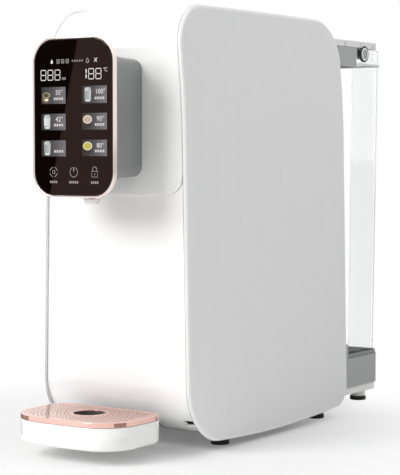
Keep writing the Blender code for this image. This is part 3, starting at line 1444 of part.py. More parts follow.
def make_pump():
    """Make the booster pump: motor can and head on the base pan, left of the middle wall."""
    x = -MID_WALL - GAP - PUMP_RADIUS
    y = deep(PUMP_BACK)
    z = PUMP_HIGH
    cylinder("pump_motor", (x, y, z), PUMP_RADIUS, PUMP_LENGTH, STEEL, "Y", 20, PUMP_EDGE)
    front = y - PUMP_LENGTH / 2 - GAP
    head = box("pump_head", (x - PUMP_HEAD_HALF, front - PUMP_HEAD_LENGTH, z - PUMP_HEAD_HALF),
               (x + PUMP_HEAD_HALF, front, z + PUMP_HEAD_HALF), DARK_GREY, PUMP_HEAD_EDGE, 1)
    for number, side in enumerate((-1, 1)):
        port = cylinder("pump_port_%d" % (number + 1),
                        (x + side * PUMP_HEAD_HALF / 2, front - PUMP_HEAD_LENGTH / 2, z + PUMP_HEAD_HALF),
                        PUMP_PORT, PUMP_PORT_LONG * 2, None, "Z", 14)
        join(head, port)
    middle = front - PUMP_HEAD_LENGTH / 2
    foot = box("pump_foot", (x - PUMP_HEAD_HALF, middle - PUMP_FOOT_LENGTH / 2, PAN_TOP + GAP),
               (x + PUMP_HEAD_HALF, middle + PUMP_FOOT_LENGTH / 2, z), None)
    join(head, foot)


def make_filter():
    """Make the filter cartridge and the head block that it twists into, right of the middle wall."""
    centre = (CARTRIDGE_ASIDE, deep(CARTRIDGE_BACK), 0.0)
    x, y, zero = centre
    edge = CARTRIDGE_RADIUS - CARTRIDGE_EDGE
    low = CARTRIDGE_LOW
    high = CARTRIDGE_HIGH
    neck = high + CARTRIDGE_NECK_LONG
    cartridge = turned("filter_cartridge",
                       [(0.0, neck), (CARTRIDGE_NECK, neck), (CARTRIDGE_NECK, high), (edge, high),
                        (CARTRIDGE_RADIUS, high - CARTRIDGE_EDGE), (CARTRIDGE_RADIUS, low + CARTRIDGE_EDGE),
                        (edge, low), (0.0, low)], centre, FILTER_WHITE, steps=18)
    grip = box("cartridge_wing", (x - CARTRIDGE_GRIP_HALF, y - CARTRIDGE_GRIP, low - CARTRIDGE_GRIP_DEEP),
               (x + CARTRIDGE_GRIP_HALF, y + CARTRIDGE_GRIP, low + CARTRIDGE_EDGE), None)
    join(cartridge, grip)
    base = high + GAP
    top = base + HEAD_BLOCK_HIGH
    bore = CARTRIDGE_NECK + GAP
    block = turned("filter_head",
                   [(0.0, top), (HEAD_BLOCK_RADIUS, top), (HEAD_BLOCK_RADIUS, base), (bore, base),
                    (bore, neck + GAP), (0.0, neck + GAP)], centre, DARK_GREY, steps=18)
    arm = box("filter_head_arm", (GAP, y - HEAD_BLOCK_RADIUS / 2, top - HEAD_BLOCK_HIGH / 2),
              (x, y + HEAD_BLOCK_RADIUS / 2, top), None)
    join(block, arm)
    for number, port_x in enumerate(filter_ports()):
        port = cylinder("filter_port_%d" % (number + 1), (port_x, y + HEAD_BLOCK_RADIUS, FILTER_PORT_HIGH),
                        PUMP_PORT, FILTER_PORT_LONG * 2, None, "Y", 14)
        join(block, port)


def filter_ports():
    """Return the X of the filter head's inlet and outlet."""
    return CARTRIDGE_ASIDE - FILTER_PORT_APART / 2, CARTRIDGE_ASIDE + FILTER_PORT_APART / 2


def make_clean_tank():
    """Make the clean-water tank behind the filter: a closed tank with two hose holes in its top."""
    low = Vector((GAP, deep(CLEAN_FRONT), PAN_TOP + GAP))
    high = low + Vector((CLEAN_WIDTH, CLEAN_DEPTH, CLEAN_HEIGHT))
    wall = Vector((CLEAN_WALL, CLEAN_WALL, CLEAN_WALL))
    tank = box("clean_tank", low, high, CLEAR, CLEAN_EDGE, 2)
    cut(tank, box("clean_hollow", low + wall, high - wall, None, CLEAN_EDGE - CLEAN_WALL, 1))
    for number, x in enumerate(clean_ports()):
        middle = (x, low.y + CLEAN_PORT_IN, high.z)
        name = "clean_hole_%d" % (number + 1)
        cut(tank, cylinder(name, middle, HOSE_RADIUS + GAP, CLEAN_WALL * 4, None, "Z", 12))


def clean_ports():
    """Return the X of the clean tank's outlet and inlet."""
    return GAP + CLEAN_WIDTH / 4, GAP + CLEAN_WIDTH * 3 / 4


def make_heater():
    """Make the flow heater: a steel tube with moulded end caps, left of the middle wall."""
    x = -MID_WALL - GAP - HEATER_RADIUS
    boss = HEATER_RADIUS / 2
    waist = HEATER_RADIUS - HEATER_WAIST
    upper = [(0.0, HEATER_HIGH), (boss, HEATER_HIGH), (boss, HEATER_HIGH - HEATER_END),
             (HEATER_RADIUS, HEATER_HIGH - HEATER_END), (HEATER_RADIUS, HEATER_HIGH - HEATER_END * 3),
             (waist, HEATER_HIGH - HEATER_END * 3)]
    lower = [(radius, HEATER_LOW + HEATER_HIGH - height) for radius, height in reversed(upper)]
    turned("heater", upper + lower, (x, deep(HEATER_BACK), 0.0), STEEL, steps=16)


def make_valve_block():
    """Make the inlet solenoid valve on the middle wall."""
    x = -MID_WALL - GAP
    y = deep(VALVE_BLOCK_BACK)
    z = VALVE_BLOCK_HIGH
    half = VALVE_BLOCK / 2
    block = box("solenoid_valve", (x - VALVE_BLOCK, y - half, z - half), (x, y + half, z + half), DARK_GREY,
                VALVE_BLOCK_EDGE, 1)
    middle = (x - half, y, z + half + VALVE_COIL_LONG / 2 - GAP)
    coil = cylinder("valve_coil", middle, VALVE_COIL, VALVE_COIL_LONG, None, "Z", 20)
    join(block, coil)


def make_power_board():
    """Make the power board on standoffs on the middle wall."""
    x = -MID_WALL - GAP
    y = deep(POWER_BACK)
    z = POWER_HIGH
    face = x - POWER_STAND
    board = box("power_board", (face - BOARD_THICK, y - POWER_WIDTH / 2, z - POWER_HEIGHT / 2),
                (face, y + POWER_WIDTH / 2, z + POWER_HEIGHT / 2), BOARD_GREEN)
    for number, (along, up) in enumerate(((-1, -1), (1, -1), (-1, 1), (1, 1))):
        spot_y = y + along * (POWER_WIDTH / 2 - POWER_STAND)
        spot_z = z + up * (POWER_HEIGHT / 2 - POWER_STAND)
        post = cylinder("board_post_%d" % (number + 1), ((x + face) / 2 - BOARD_THICK / 4, spot_y, spot_z),
                        POWER_STAND / 2, POWER_STAND + BOARD_THICK / 2, None, "X", 10)
        join(board, post)
    part = box("board_part", (face - BOARD_THICK / 2 - POWER_PART, y - POWER_PART, z - POWER_PART),
               (face - BOARD_THICK / 2, y + POWER_PART, z + POWER_PART), None)
    join(board, part)


def make_hoses():
    """Run the silicone hoses between the pieces that pass the water on."""
    pump_x = -MID_WALL - GAP - PUMP_RADIUS
    pump_y = deep(PUMP_BACK) - PUMP_LENGTH / 2 - GAP - PUMP_HEAD_LENGTH / 2
    pump_z = PUMP_HIGH + PUMP_HEAD_HALF + PUMP_PORT_LONG + GAP
    pump_in = Vector((pump_x - PUMP_HEAD_HALF / 2, pump_y, pump_z))
    pump_out = Vector((pump_x + PUMP_HEAD_HALF / 2, pump_y, pump_z))
    up = Vector((0.0, 0.0, HOSE_BEND))
    back = Vector((0.0, HOSE_BEND, 0.0))
    inside = behind(-COVER_SET - COVER_WALL) - HOSE_RADIUS * 2
    beside = pump_x - PUMP_RADIUS - HOSE_RADIUS - HOSE_CLEAR
    motor_y = deep(PUMP_BACK)
    coupling_y = behind(VALVE_BEHIND) - COUPLING_RADIUS - GAP
    tube("hose_tank_pump",
         [(0.0, coupling_y, PIPE_HIGH), (0.0, inside + HOSE_RADIUS * 2, PIPE_HIGH), (0.0, inside, PIPE_HIGH),
          (pump_x, inside - HOSE_RADIUS, PIPE_HIGH + HOSE_BEND),
          (beside, motor_y + PUMP_LENGTH / 2, PUMP_HIGH), (beside, motor_y, PUMP_HIGH + HOSE_BEND * 2),
          pump_in + up + up / 2, pump_in + up / 2, pump_in], HOSE_RADIUS, SILICONE)

    port_y = deep(CARTRIDGE_BACK) + HEAD_BLOCK_RADIUS + FILTER_PORT_LONG + GAP
    first, second = (Vector((x, port_y, FILTER_PORT_HIGH)) for x in filter_ports())
    riser_x = -MID_WALL - HOSE_BEND
    rear_y = deep(PASS_BACK) + PASS_WIDTH / 2
    front_y = deep(PASS_BACK) + PASS_WIDTH / 4
    pass_z = PASS_HIGH + PASS_HEIGHT / 2
    tube("hose_pump_filter",
         [pump_out, pump_out + up / 2, pump_out + up + up / 2,
          (riser_x, rear_y, VALVE_BLOCK_HIGH + HOSE_BEND), (riser_x, rear_y, POWER_HIGH),
          (riser_x, rear_y, PASS_HIGH - HOSE_BEND),
          (0.0, rear_y + HOSE_RADIUS, pass_z), first + back, first + back / 2, first], HOSE_RADIUS, SILICONE)

    top = PAN_TOP + GAP + CLEAN_HEIGHT
    tank_y = deep(CLEAN_FRONT) + CLEAN_PORT_IN
    outlet, inlet = (Vector((x, tank_y, top - CLEAN_WALL)) for x in clean_ports())
    tube("hose_filter_tank",
         [second, second + back / 2, second + back, inlet + up * 3, inlet + up, inlet],
         HOSE_RADIUS, SILICONE)

    heater_x = -MID_WALL - GAP - HEATER_RADIUS
    heater_y = deep(HEATER_BACK)
    heater_low = Vector((heater_x, heater_y, HEATER_LOW - GAP))
    heater_high = Vector((heater_x, heater_y, HEATER_HIGH + GAP))
    tube("hose_tank_heater",
         [outlet, outlet + up, outlet + up * 3 - back, (0.0, front_y, pass_z),
          (riser_x, front_y - HOSE_RADIUS, PASS_HIGH - HOSE_BEND),
          (heater_x, front_y - HOSE_BEND * 3, POWER_HIGH),
          (heater_x, heater_y + HEATER_RADIUS + HOSE_BEND, HEATER_LOW), heater_low - up - up / 2 + back,
          heater_low - up, heater_low - up / 2, heater_low], HOSE_RADIUS, SILICONE)

    spout = Vector((0.0, deep(-SPOUT_OUT), STEM_TOP + GAP))
    tube("hose_heater_nozzle",
         [heater_high, heater_high + up / 2, heater_high + up,
          (heater_x / 2, deep(HEATER_BACK / 2), HEAD_CENTRE + HOSE_RADIUS), (0.0, FRONT, HEAD_CENTRE),
          spout + up * 2 + back / 2, spout + up, spout], HOSE_RADIUS, SILICONE)


MOVING = {
    "tray_axis": ((0.0, FRONT, TRAY_FOOT), ("tray_body", "drain_cup")),
    "tray_cover_axis": ((0.0, deep(-DRAIN_AHEAD), TRAY_TOP), ("tray_cover",)),
    "tank_axis": ((0.0, behind(VALVE_BEHIND), TANK_LOW),
                  ("tank_wall", "tank_grip", "tank_top_cover", "tank_band", "valve_body", "valve_spring")),
    "flap_axis": ((0.0, behind(PIVOT_BEHIND), PIVOT_HIGH),
                  ("tank_flap", "flap_pivot_left", "flap_pivot_right")),
    "valve_axis": ((0.0, behind(VALVE_BEHIND), TANK_LOW - VALVE_DROP), ("valve_poppet",)),
    "panel_axis": ((BODY_HALF, deep(BODY_DEPTH / 2), (BODY_FOOT + BODY_TOP) / 2), ("side_panel_right",)),
    "filter_axis": ((CARTRIDGE_ASIDE, deep(CARTRIDGE_BACK), CARTRIDGE_HIGH), ("filter_cartridge",)),
}


def carry():
    """Give each moving group an empty on its joint's axis as its parent."""
    for name, (spot, nodes) in MOVING.items():
        empty = bpy.data.objects.new(name, None)
        empty.location = spot
        PARTS.objects.link(empty)
        for node in nodes:
            piece = bpy.data.objects[node]
            piece.parent = empty
            piece.matrix_parent_inverse = Matrix.Translation(spot).inverted()


def build():
    """Make every piece."""
    for side, word in ((1, "right"), (-1, "left")):
        side_panel("side_panel_" + word, side)
    make_top_cover()
    make_front_panel()
    make_rear_panel()
    make_power_inlet()
    make_base_pan()
    make_feet()
    make_side_frames()
    make_middle_wall()
    make_head()
    make_spout()
    make_tray()
    make_tray_bracket()
    make_seat()
    make_tank()
    make_flap()
    make_tank_valve()
    make_pump()
    make_filter()
    make_clean_tank()
    make_heater()
    make_valve_block()
    make_power_board()
    make_hoses()
    carry()


build()
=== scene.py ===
"""Looks of a countertop hot water dispenser, laid over its packed solids.

The frame is +Z up, metres, front towards -Y, with the origin on the table under the middle of the machine.
Places along the depth are given behind the body's front face and turned into the frame by deep().
"""
import math

import bmesh
import bpy
from mathutils import Matrix, Vector


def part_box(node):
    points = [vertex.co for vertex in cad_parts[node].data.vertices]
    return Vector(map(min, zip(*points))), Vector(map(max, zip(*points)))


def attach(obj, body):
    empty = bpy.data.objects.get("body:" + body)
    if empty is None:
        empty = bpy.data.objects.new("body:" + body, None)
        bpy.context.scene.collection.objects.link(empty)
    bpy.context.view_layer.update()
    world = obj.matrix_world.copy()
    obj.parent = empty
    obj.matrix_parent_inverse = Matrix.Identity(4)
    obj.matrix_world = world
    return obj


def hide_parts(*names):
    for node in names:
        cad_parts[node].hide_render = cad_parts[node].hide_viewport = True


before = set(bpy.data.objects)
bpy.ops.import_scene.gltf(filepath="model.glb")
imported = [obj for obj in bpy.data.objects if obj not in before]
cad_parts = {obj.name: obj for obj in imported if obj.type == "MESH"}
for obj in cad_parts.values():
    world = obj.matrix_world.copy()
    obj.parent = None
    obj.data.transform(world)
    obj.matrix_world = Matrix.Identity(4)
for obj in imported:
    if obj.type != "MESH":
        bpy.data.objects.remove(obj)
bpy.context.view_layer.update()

bl_info = {
    "name": "Hot Water Dispenser",
    "version": (1, 0, 0),
    "blender": (4, 5, 0),
    "location": "3D View > Sidebar > Dispenser",
    "description": "Builds the looks of a countertop hot water dispenser piece by piece",
    "category": "Add Mesh",
}

# Metres: the clearance between neighbouring pieces, and how far a cutting tool runs past what it cuts.
GAP = 0.0003
CUT_OVER = 0.002
# The covers: their wall, how far they lie inside the side panels' outline, the groove beside them, and how far the
# lips that close this groove lie under their faces.
COVER_WALL = 0.0020
COVER_SET = 0.0003
SEAM = 0.0008
LIP_SET = 0.0005
# The head: the housing's wall, how far the bezel stands proud of the glass, and the height of the spout's seal.
HOUSING_WALL = 0.0022
BEZEL_PROUD = 0.0003
SEAL_HIGH = 0.0048
# The tray: its wall, its slotted plate's underside below the top, the places of the two prongs that it slides on, and
# the channel for each of them.
TRAY_WALL = 0.0024
PLATE_LOW = 0.0016
PRONG = 0.030
CHANNEL_HALF = 0.0053
CHANNEL_LOW, CHANNEL_HIGH = 0.0192, 0.0238
# The tank: the depth of its valve, the bore for the flap's pins, and the depth of the cuts where flap and cover meet.
VALVE_BACK = 0.3530
PIN_BORE = 0.0028
FLAP_NICK = 0.3370


# What a user may change

def length(name, default, description):
    """Return a length setting in metres."""
    return bpy.props.FloatProperty(name=name, description=description, default=default, min=0.0, unit="LENGTH")


def linear(code):
    """Return the linear colour of an sRGB hex value."""
    values = [int(code[start:start + 2], 16) / 255 for start in (1, 3, 5)]
    return [value / 12.92 if value <= 0.04045 else ((value + 0.055) / 1.055) ** 2.4 for value in values] + [1.0]


def colour(name, code, description):
    """Return a colour setting from an sRGB hex value."""
    return bpy.props.FloatVectorProperty(name=name, description=description, default=linear(code), size=4,
                                         subtype="COLOR", min=0.0, max=1.0)


class BodySizes(bpy.types.PropertyGroup):
    """Sizes of the body, its covers and its feet."""
    depth: length("Body depth", 0.280, "Front face to rear face of the body")
    height: length("Body height", 0.380, "Height of the body above its lower edge")
    foot: length("Ground clearance", 0.0131, "Height of the body's lower edge over the table")
    half: length("Half width", 0.0821, "Half the width over the side panels at the foot")
    lean: length("Lean", 0.0071, "How far each side panel leans in over the body's height")
    tuck: length("Tuck", 0.0075, "How far each side panel draws in more near the top")
    front_foot: length("Front foot corner", 0.048, "Radius of the body's lower front corner in the side view")
    front_top: length("Front top corner", 0.040, "Radius of the body's upper front corner in the side view")
    rear_top: length("Rear top corner", 0.040, "Radius of the body's upper rear corner in the side view")
    rear_foot: length("Rear foot corner", 0.018, "Radius of the body's lower rear corner in the side view")
    foot_bow: length("Foot bow", 0.0078, "How far the side panel's lower edge bellies down")
    top_bow: length("Top bow", 0.0011, "How far the side panel's upper edge crowns")
    rim: length("Panel rim", 0.0030, "Depth and radius of the rim round a side panel")
    crown: length("Panel crown", 0.0012, "How far a side panel's middle stands out")
    wall: length("Panel wall", 0.0020, "Wall of a side panel")
    apron: length("Apron edge", 0.2278, "Height of the apron's lower edge")
    apron_corner: length("Apron corner", 0.018, "Radius of the apron's lower corners")
    seam: length("Rear seam", 0.345, "Height where the top cover meets the rear panel")
    pad: length("Foot pad radius", 0.0085, "Radius of a rubber foot pad")
    pad_high: length("Foot pad height", 0.004, "Height of a rubber foot pad")


class HeadSizes(bpy.types.PropertyGroup):
    """Sizes of the head with its display and of the spout."""
    centre: length("Head height", 0.2943, "Height of the display's middle")
    half_wide: length("Display half width", 0.0423, "Half the width of the display glass")
    half_high: length("Display half height", 0.0665, "Half the height of the display glass")
    corner: length("Display corner", 0.0200, "Corner radius of the display glass")
    out: length("Head reach", 0.0560, "How far the display stands in front of the body")
    glass: length("Glass thickness", 0.0030, "Thickness of the display glass")
    rim: length("Bezel rim", 0.0019, "Width of the bezel round the glass")
    deep: length("Bezel depth", 0.0046, "Depth of the bezel")
    neck_wide: length("Neck half width", 0.0317, "Half the width of the housing at the body")
    neck_high: length("Neck half height", 0.0512, "Half the height of the housing at the body")
    spout_out: length("Spout reach", 0.030, "How far the spout stands in front of the body")
    spout_low: length("Spout end", 0.2199, "Height of the spout's lower end")
    spout_step: length("Spout step", 0.2243, "Height of the step between the spout's body and tip")
    spout_top: length("Spout top", 0.2355, "Height of the spout's top face")
    spout: length("Spout radius", 0.0115, "Radius of the spout's body")


class TraySizes(bpy.types.PropertyGroup):
    """Sizes of the drip tray."""
    reach: length("Tray reach", 0.080, "How far the tray stands in front of the body")
    half: length("Tray half width", 0.059, "Half the tray's width")
    foot: length("Tray foot", 0.0133, "Height of the tray's underside")
    top: length("Tray top", 0.0380, "Height of the tray's cover")
    band: length("Cover band", 0.0043, "Height of the cover's band")
    front_corner: length("Front corner", 0.030, "Radius of the tray's front corners")
    rear_corner: length("Rear corner", 0.018, "Radius of the tray's rear corners")
    bow: length("Front bow", 0.005, "How far the tray's front bows out")
    drain_back: length("Drain place", 0.0348, "How far the drain stands in front of the body")
    drain: length("Drain radius", 0.0140, "Radius of the drain hole")
    slot: length("Slot width", 0.0011, "Width of one slot of the perforated plate")


class TankSizes(bpy.types.PropertyGroup):
    """Sizes of the water tank and its seat."""
    front: length("Tank front", 0.3220, "Depth of the tank's front face")
    rear_low: length("Tank rear at the foot", 0.3855, "Depth of the tank's rear face at its foot")
    rear_high: length("Tank rear at the top", 0.3878, "Depth of the tank's rear face at its top")
    half_low: length("Tank half width, foot", 0.0565, "Half the tank's width at its foot")
    half_high: length("Tank half width, top", 0.0600, "Half the tank's width at its top")
    corner: length("Tank corner", 0.008, "Radius of the tank's upright corners")
    low: length("Tank foot", 0.0380, "Height of the tank's underside")
    top: length("Tank rim", 0.3700, "Height of the tank's rim")
    wall: length("Tank wall", 0.0024, "Wall of the tank")
    cover_top: length("Cover top", 0.3772, "Height of the white cover's top")
    cover_thick: length("Cover thickness", 0.0062, "Thickness of the white cover")
    cover_half: length("Cover half width", 0.0625, "Half the width of the white cover")
    cover_front: length("Cover front", 0.2840, "Depth of the white cover's front edge")
    cover_rear: length("Cover rear", 0.3845, "Depth of the white cover's rear edge")
    cover_corner: length("Cover corner", 0.016, "Radius of the white cover's rear corners")
    band_low: length("Band foot", 0.3530, "Height of the band's lower edge")
    band_high: length("Band top", 0.3552, "Height of the band's upper edge")
    band_out: length("Band reach", 0.0016, "How far the band stands out from the tank")
    seat_half: length("Seat half width", 0.0605, "Half the width of the tank's seat")
    seat_rear: length("Seat rear", 0.390, "Depth of the seat's rear end")
    seat_corner: length("Seat corner", 0.014, "Radius of the seat's rear corners")
    seat_low: length("Seat foot", 0.0208, "Height of the grey seat's lower edge")
    seat_top: length("Seat top", 0.0512, "Height of the grey seat's upper edge")
    pivot_back: length("Flap pivot depth", 0.3470, "Depth of the filling flap's pivot")
    pivot_high: length("Flap pivot height", 0.3647, "Height of the filling flap's pivot")
    flap_arc: length("Flap front radius", 0.0144, "Radius of the flap's front edge about its pivot")
    knob: length("Pivot head radius", 0.0082, "Radius of a pivot's head")
    knob_thick: length("Pivot head thickness", 0.0025, "Thickness of a pivot's head")


class Finishes(bpy.types.PropertyGroup):
    """Colours of the finishes."""
    gloss: colour("Gloss covers", "#f5f5f4", "Glossy white moulded covers")
    satin: colour("Side panels", "#e9e9ea", "Satin white side panels, and the tank's white top and band")
    grey: colour("Grey mouldings", "#878888", "Head housing, base pan and seat lip")
    # The pale grey also paints the seam's shade as the side panels' fine line.
    pale: colour("Pale grey mouldings", "#a9aaaa", "Tank seat, grip, pivot caps and the side panels' fine line")
    dark: colour("Dark mouldings", "#3d3d3e", "Drain cup, pivots and inner mouldings")
    glass: colour("Display glass", "#0a0504", "Smoked glass of the display")
    rose: colour("Rose gold", "#efc4b8", "Tray cover")
    champagne: colour("Champagne gold", "#f6e8e1", "Bezel")
    chrome: colour("Spout plating", "#e2dedb", "Plated spout")
    rubber: colour("Rubber", "#1c1c1c", "Foot pads and seal")
    clear: colour("Tank resin", "#f6fafa", "Clear tank")
    # The tank's edge colour is painted shade, mixed in where a clear wall is seen edge on.
    clear_edge_shade: colour("Tank edges", "#4c4f4f", "Clear tank where the eye looks along its wall")
    steel: colour("Steel", "#c3c4c6", "Heater, pump can, bracket and spring")
    board: colour("Circuit board", "#1d5a36", "Boards")
    hose: colour("Hose", "#e6e6e2", "Silicone hoses")
    filter: colour("Filter shell", "#dfe5ea", "Filter cartridge")


def body():
    return bpy.context.scene.dispenser_body


def head():
    return bpy.context.scene.dispenser_head


def tray():
    return bpy.context.scene.dispenser_tray


def tank():
    return bpy.context.scene.dispenser_tank


def finishes():
    return bpy.context.scene.dispenser_finishes


def deep(distance):
    """Return the frame's Y of a place this far behind the body's front face."""
    return (tray().reach - tank().seat_rear) / 2 + distance


# Materials

def add_node(tree, kind, values=None, links=None, **settings):
    """Add one node with its settings, its sockets' values and its links."""
    made = tree.nodes.new(kind)
    for name, value in settings.items():
        setattr(made, name, value)
    for socket, value in (values or {}).items():
        made.inputs[socket].default_value = value
    for socket, source in (links or {}).items():
        tree.links.new(source, made.inputs[socket])
    return made


def per_mm(size):
    """Return the texture scale at which one wave of a pattern is this many millimetres."""
    return 1000.0 / size


def surface(name, **values):
    """Return a new material, its node tree and its shader, with values set on the shader's own sockets."""
    made = bpy.data.materials.new(name)
    made.use_nodes = True
    shader = made.node_tree.nodes["Principled BSDF"]
    for socket, value in values.items():
        shader.inputs[socket.replace("_", " ")].default_value = value
    return made, made.node_tree, shader


def mottle(tree, size, stretch=(1.0, 1.0, 1.0), detail=2.0):
    """Lay an uneven pattern over the piece with waves of a size in millimetres, longer along a stretched axis."""
    coords = add_node(tree, "ShaderNodeTexCoord")
    mapping = add_node(tree, "ShaderNodeMapping", {"Scale": [1.0 / long for long in stretch]},
                       {"Vector": coords.outputs["Object"]})
    return add_node(tree, "ShaderNodeTexNoise", {"Scale": per_mm(size), "Detail": detail},
                    {"Vector": mapping.outputs["Vector"]})


def tint(tree, shader, pattern, first, second):
    """Let a pattern move the colour between two near ones."""
    mixed = add_node(tree, "ShaderNodeMix", {"A": first, "B": second}, data_type="RGBA")
    tree.links.new(pattern.outputs["Fac"], mixed.inputs["Factor"])
    tree.links.new(mixed.outputs[2], shader.inputs["Base Color"])


def turning(tree, start, end, most):
    """Return a share that grows from 0 to most as a clear wall turns edge on, between two amounts of turning."""
    facing = add_node(tree, "ShaderNodeLayerWeight", {"Blend": 0.5})
    share = add_node(tree, "ShaderNodeMapRange", {"From Min": start, "From Max": end, "To Min": 0.0, "To Max": most},
                     {"Value": facing.outputs["Facing"]})
    return share.outputs["Result"]


def shade(code, factor):
    """Return a colour made a little lighter or darker."""
    return [min(1.0, value * factor) for value in code[:3]] + [1.0]


def vary(tree, shader, pattern, base, tones, roughness, depth=0.0):
    """Let a pattern move a finish between two tones and two roughnesses, and raise it by a depth in millimetres."""
    tint(tree, shader, pattern, shade(base, tones[0]), shade(base, tones[1]))
    spread = add_node(tree, "ShaderNodeMapRange",
                      {"From Min": 0.3, "From Max": 0.7, "To Min": roughness[0], "To Max": roughness[1]},
                      {"Value": pattern.outputs["Fac"]})
    tree.links.new(spread.outputs["Result"], shader.inputs["Roughness"])
    if depth:
        bump = add_node(tree, "ShaderNodeBump", {"Strength": 1.0, "Distance": depth / 1000.0},
                        {"Height": pattern.outputs["Fac"]})
        tree.links.new(bump.outputs["Normal"], shader.inputs["Normal"])


def gloss_moulded_abs():
    """ABS moulded in a polished tool: a bright skin whose slow waves bend the reflections slightly."""
    made, tree, shader = surface("gloss_moulded_abs", Roughness=0.16, IOR=1.54, Coat_Weight=0.35, Coat_Roughness=0.05)
    # The skin sinks and swells over about 14 mm, where the walls cooled unevenly.
    vary(tree, shader, mottle(tree, 14.0), finishes().gloss, (0.985, 1.0), (0.13, 0.20), 0.012)
    return made


def satin_streaked_abs():
    """ABS moulded in a tool brushed upright: a pale satin skin with faint streaks that soften its reflections."""
    made, tree, shader = surface("satin_streaked_abs", Roughness=0.36, IOR=1.54)
    # The brush marks are about 0.4 mm apart, drawn at 2.6 mm so that they show at this distance.
    vary(tree, shader, mottle(tree, 2.6, (1.0, 1.0, 60.0), 3.0), finishes().satin, (0.925, 1.0), (0.34, 0.46), 0.010)
    return made


def grey_spark_abs():
    """ABS moulded in a spark-eroded tool: a fine dull grain that spreads the light."""
    made, tree, shader = surface("grey_spark_abs", Roughness=0.42, IOR=1.54)
    # Spark grain is about 0.1 mm, drawn at 0.7 mm so that it shows.
    vary(tree, shader, mottle(tree, 0.7, detail=3.0), finishes().grey, (0.93, 1.05), (0.36, 0.50), 0.02)
    return made


def pale_spark_abs():
    """Pale grey ABS with the same spark grain, dull and soft beside the gloss."""
    made, tree, shader = surface("pale_spark_abs", Roughness=0.42, IOR=1.54)
    # Spark grain is about 0.1 mm, drawn at 0.7 mm so that it shows.
    vary(tree, shader, mottle(tree, 0.7, detail=3.0), finishes().pale, (0.95, 1.04), (0.38, 0.50), 0.015)
    return made


def dark_spark_pp():
    """Dark polypropylene with a moulded grain: soft, wide highlights."""
    made, tree, shader = surface("dark_spark_pp", Roughness=0.5, IOR=1.49)
    # The grain is about 0.2 mm, drawn at 0.8 mm so that it shows.
    vary(tree, shader, mottle(tree, 0.8, detail=3.0), finishes().dark, (0.8, 1.15), (0.40, 0.58), 0.02)
    return made


def smoked_tempered_glass():
    """Back-printed tempered glass: almost black, with one sharp reflection from its polished face."""
    made, tree, shader = surface("smoked_tempered_glass", Roughness=0.02, IOR=1.50)
    # Roller waves from tempering are some 80 mm long and only microns deep.
    vary(tree, shader, mottle(tree, 80.0), finishes().glass, (0.8, 1.1), (0.010, 0.025))
    return made


def rose_vacuum_plate():
    """Vacuum-plated ABS in rose gold: a mirror-like metal skin with a trace of the moulding's waves."""
    made, tree, shader = surface("rose_vacuum_plate", Roughness=0.08, Metallic=0.70)
    # Thin plate follows the moulding's own waves, about 9 mm long.
    vary(tree, shader, mottle(tree, 9.0), finishes().rose, (0.99, 1.05), (0.06, 0.11), 0.010)
    return made


def champagne_vacuum_plate():
    """Vacuum-plated ABS in pale champagne gold: almost white where it mirrors the light, brown where it doesn't."""
    made, tree, shader = surface("champagne_vacuum_plate", Roughness=0.12, Metallic=1.0)
    # Thin plate follows the moulding's own waves, about 9 mm long.
    vary(tree, shader, mottle(tree, 9.0), finishes().champagne, (0.96, 1.02), (0.08, 0.15), 0.008)
    return made


def bright_chrome_plate():
    """Chrome plate over polished brass: hard bright reflections."""
    made, tree, shader = surface("bright_chrome_plate", Roughness=0.06, Metallic=1.0)
    # Buffing the brass leaves waves about 3 mm long.
    vary(tree, shader, mottle(tree, 3.0), finishes().chrome, (0.96, 1.02), (0.04, 0.09))
    return made


def moulded_nitrile_rubber():
    """Black moulded rubber: nearly matt, with a fine dusty bloom."""
    made, tree, shader = surface("moulded_nitrile_rubber", Roughness=0.8, IOR=1.52, Sheen_Weight=0.15)
    # The bloom lies in specks of about 1.2 mm.
    vary(tree, shader, mottle(tree, 1.2, detail=4.0), finishes().rubber, (0.7, 1.5), (0.70, 0.88), 0.03)
    return made


def clear_moulded_resin():
    """Clear styrene resin moulded in a polished tool: walls that vanish face on and turn grey along their edges."""
    made, tree, shader = surface("clear_moulded_resin", Roughness=0.02, IOR=1.30, Transmission_Weight=1.0)
    # The polished walls wave over about 30 mm.
    vary(tree, shader, mottle(tree, 30.0), finishes().clear, (0.985, 1.0), (0.01, 0.03))
    # Painted shade: where a wall turns edge on, its colour is mixed towards a dark grey, standing in for the dark
    # that the wall bends and mirrors there.
    plain = shader.inputs["Base Color"].links[0].from_socket
    mixed = add_node(tree, "ShaderNodeMixRGB", {"Color2": finishes().clear_edge_shade},
                     {"Fac": turning(tree, 0.48, 0.85, 1.0), "Color1": plain})
    tree.links.new(mixed.outputs["Color"], shader.inputs["Base Color"])
    # Seen straight on, a wall this thin and smooth lets everything through.
    tree.links.new(turning(tree, 0.30, 0.95, 0.95), shader.inputs["Alpha"])
    return made


def drawn_steel():
    """Drawn stainless steel: fine lines along the draw that stretch the highlights."""
    made, tree, shader = surface("drawn_steel", Roughness=0.28, Metallic=1.0, Anisotropic=0.4)
    # Draw lines are about 0.05 mm apart, drawn at 0.5 mm so that they show.
    vary(tree, shader, mottle(tree, 0.5, (1.0, 1.0, 40.0), 3.0), finishes().steel, (0.9, 1.04), (0.22, 0.36), 0.008)
    return made


def masked_glass_epoxy():
    """Glass-epoxy board under solder mask: deep green with the weave and the copper showing faintly."""
    made, tree, shader = surface("masked_glass_epoxy", Roughness=0.35, IOR=1.55, Coat_Weight=0.3)
    base = finishes().board
    # The traces are drawn as 2 mm cells.
    cells = add_node(tree, "ShaderNodeTexVoronoi", {"Scale": per_mm(2.0)}, distance="MANHATTAN", feature="F1")
    coords = add_node(tree, "ShaderNodeTexCoord")
    tree.links.new(coords.outputs["Object"], cells.inputs["Vector"])
    mixed = add_node(tree, "ShaderNodeMix", {"A": shade(base, 0.7), "B": shade(base, 1.6)},
                     {"Factor": cells.outputs["Distance"]}, data_type="RGBA")
    tree.links.new(mixed.outputs[2], shader.inputs["Base Color"])
    return made


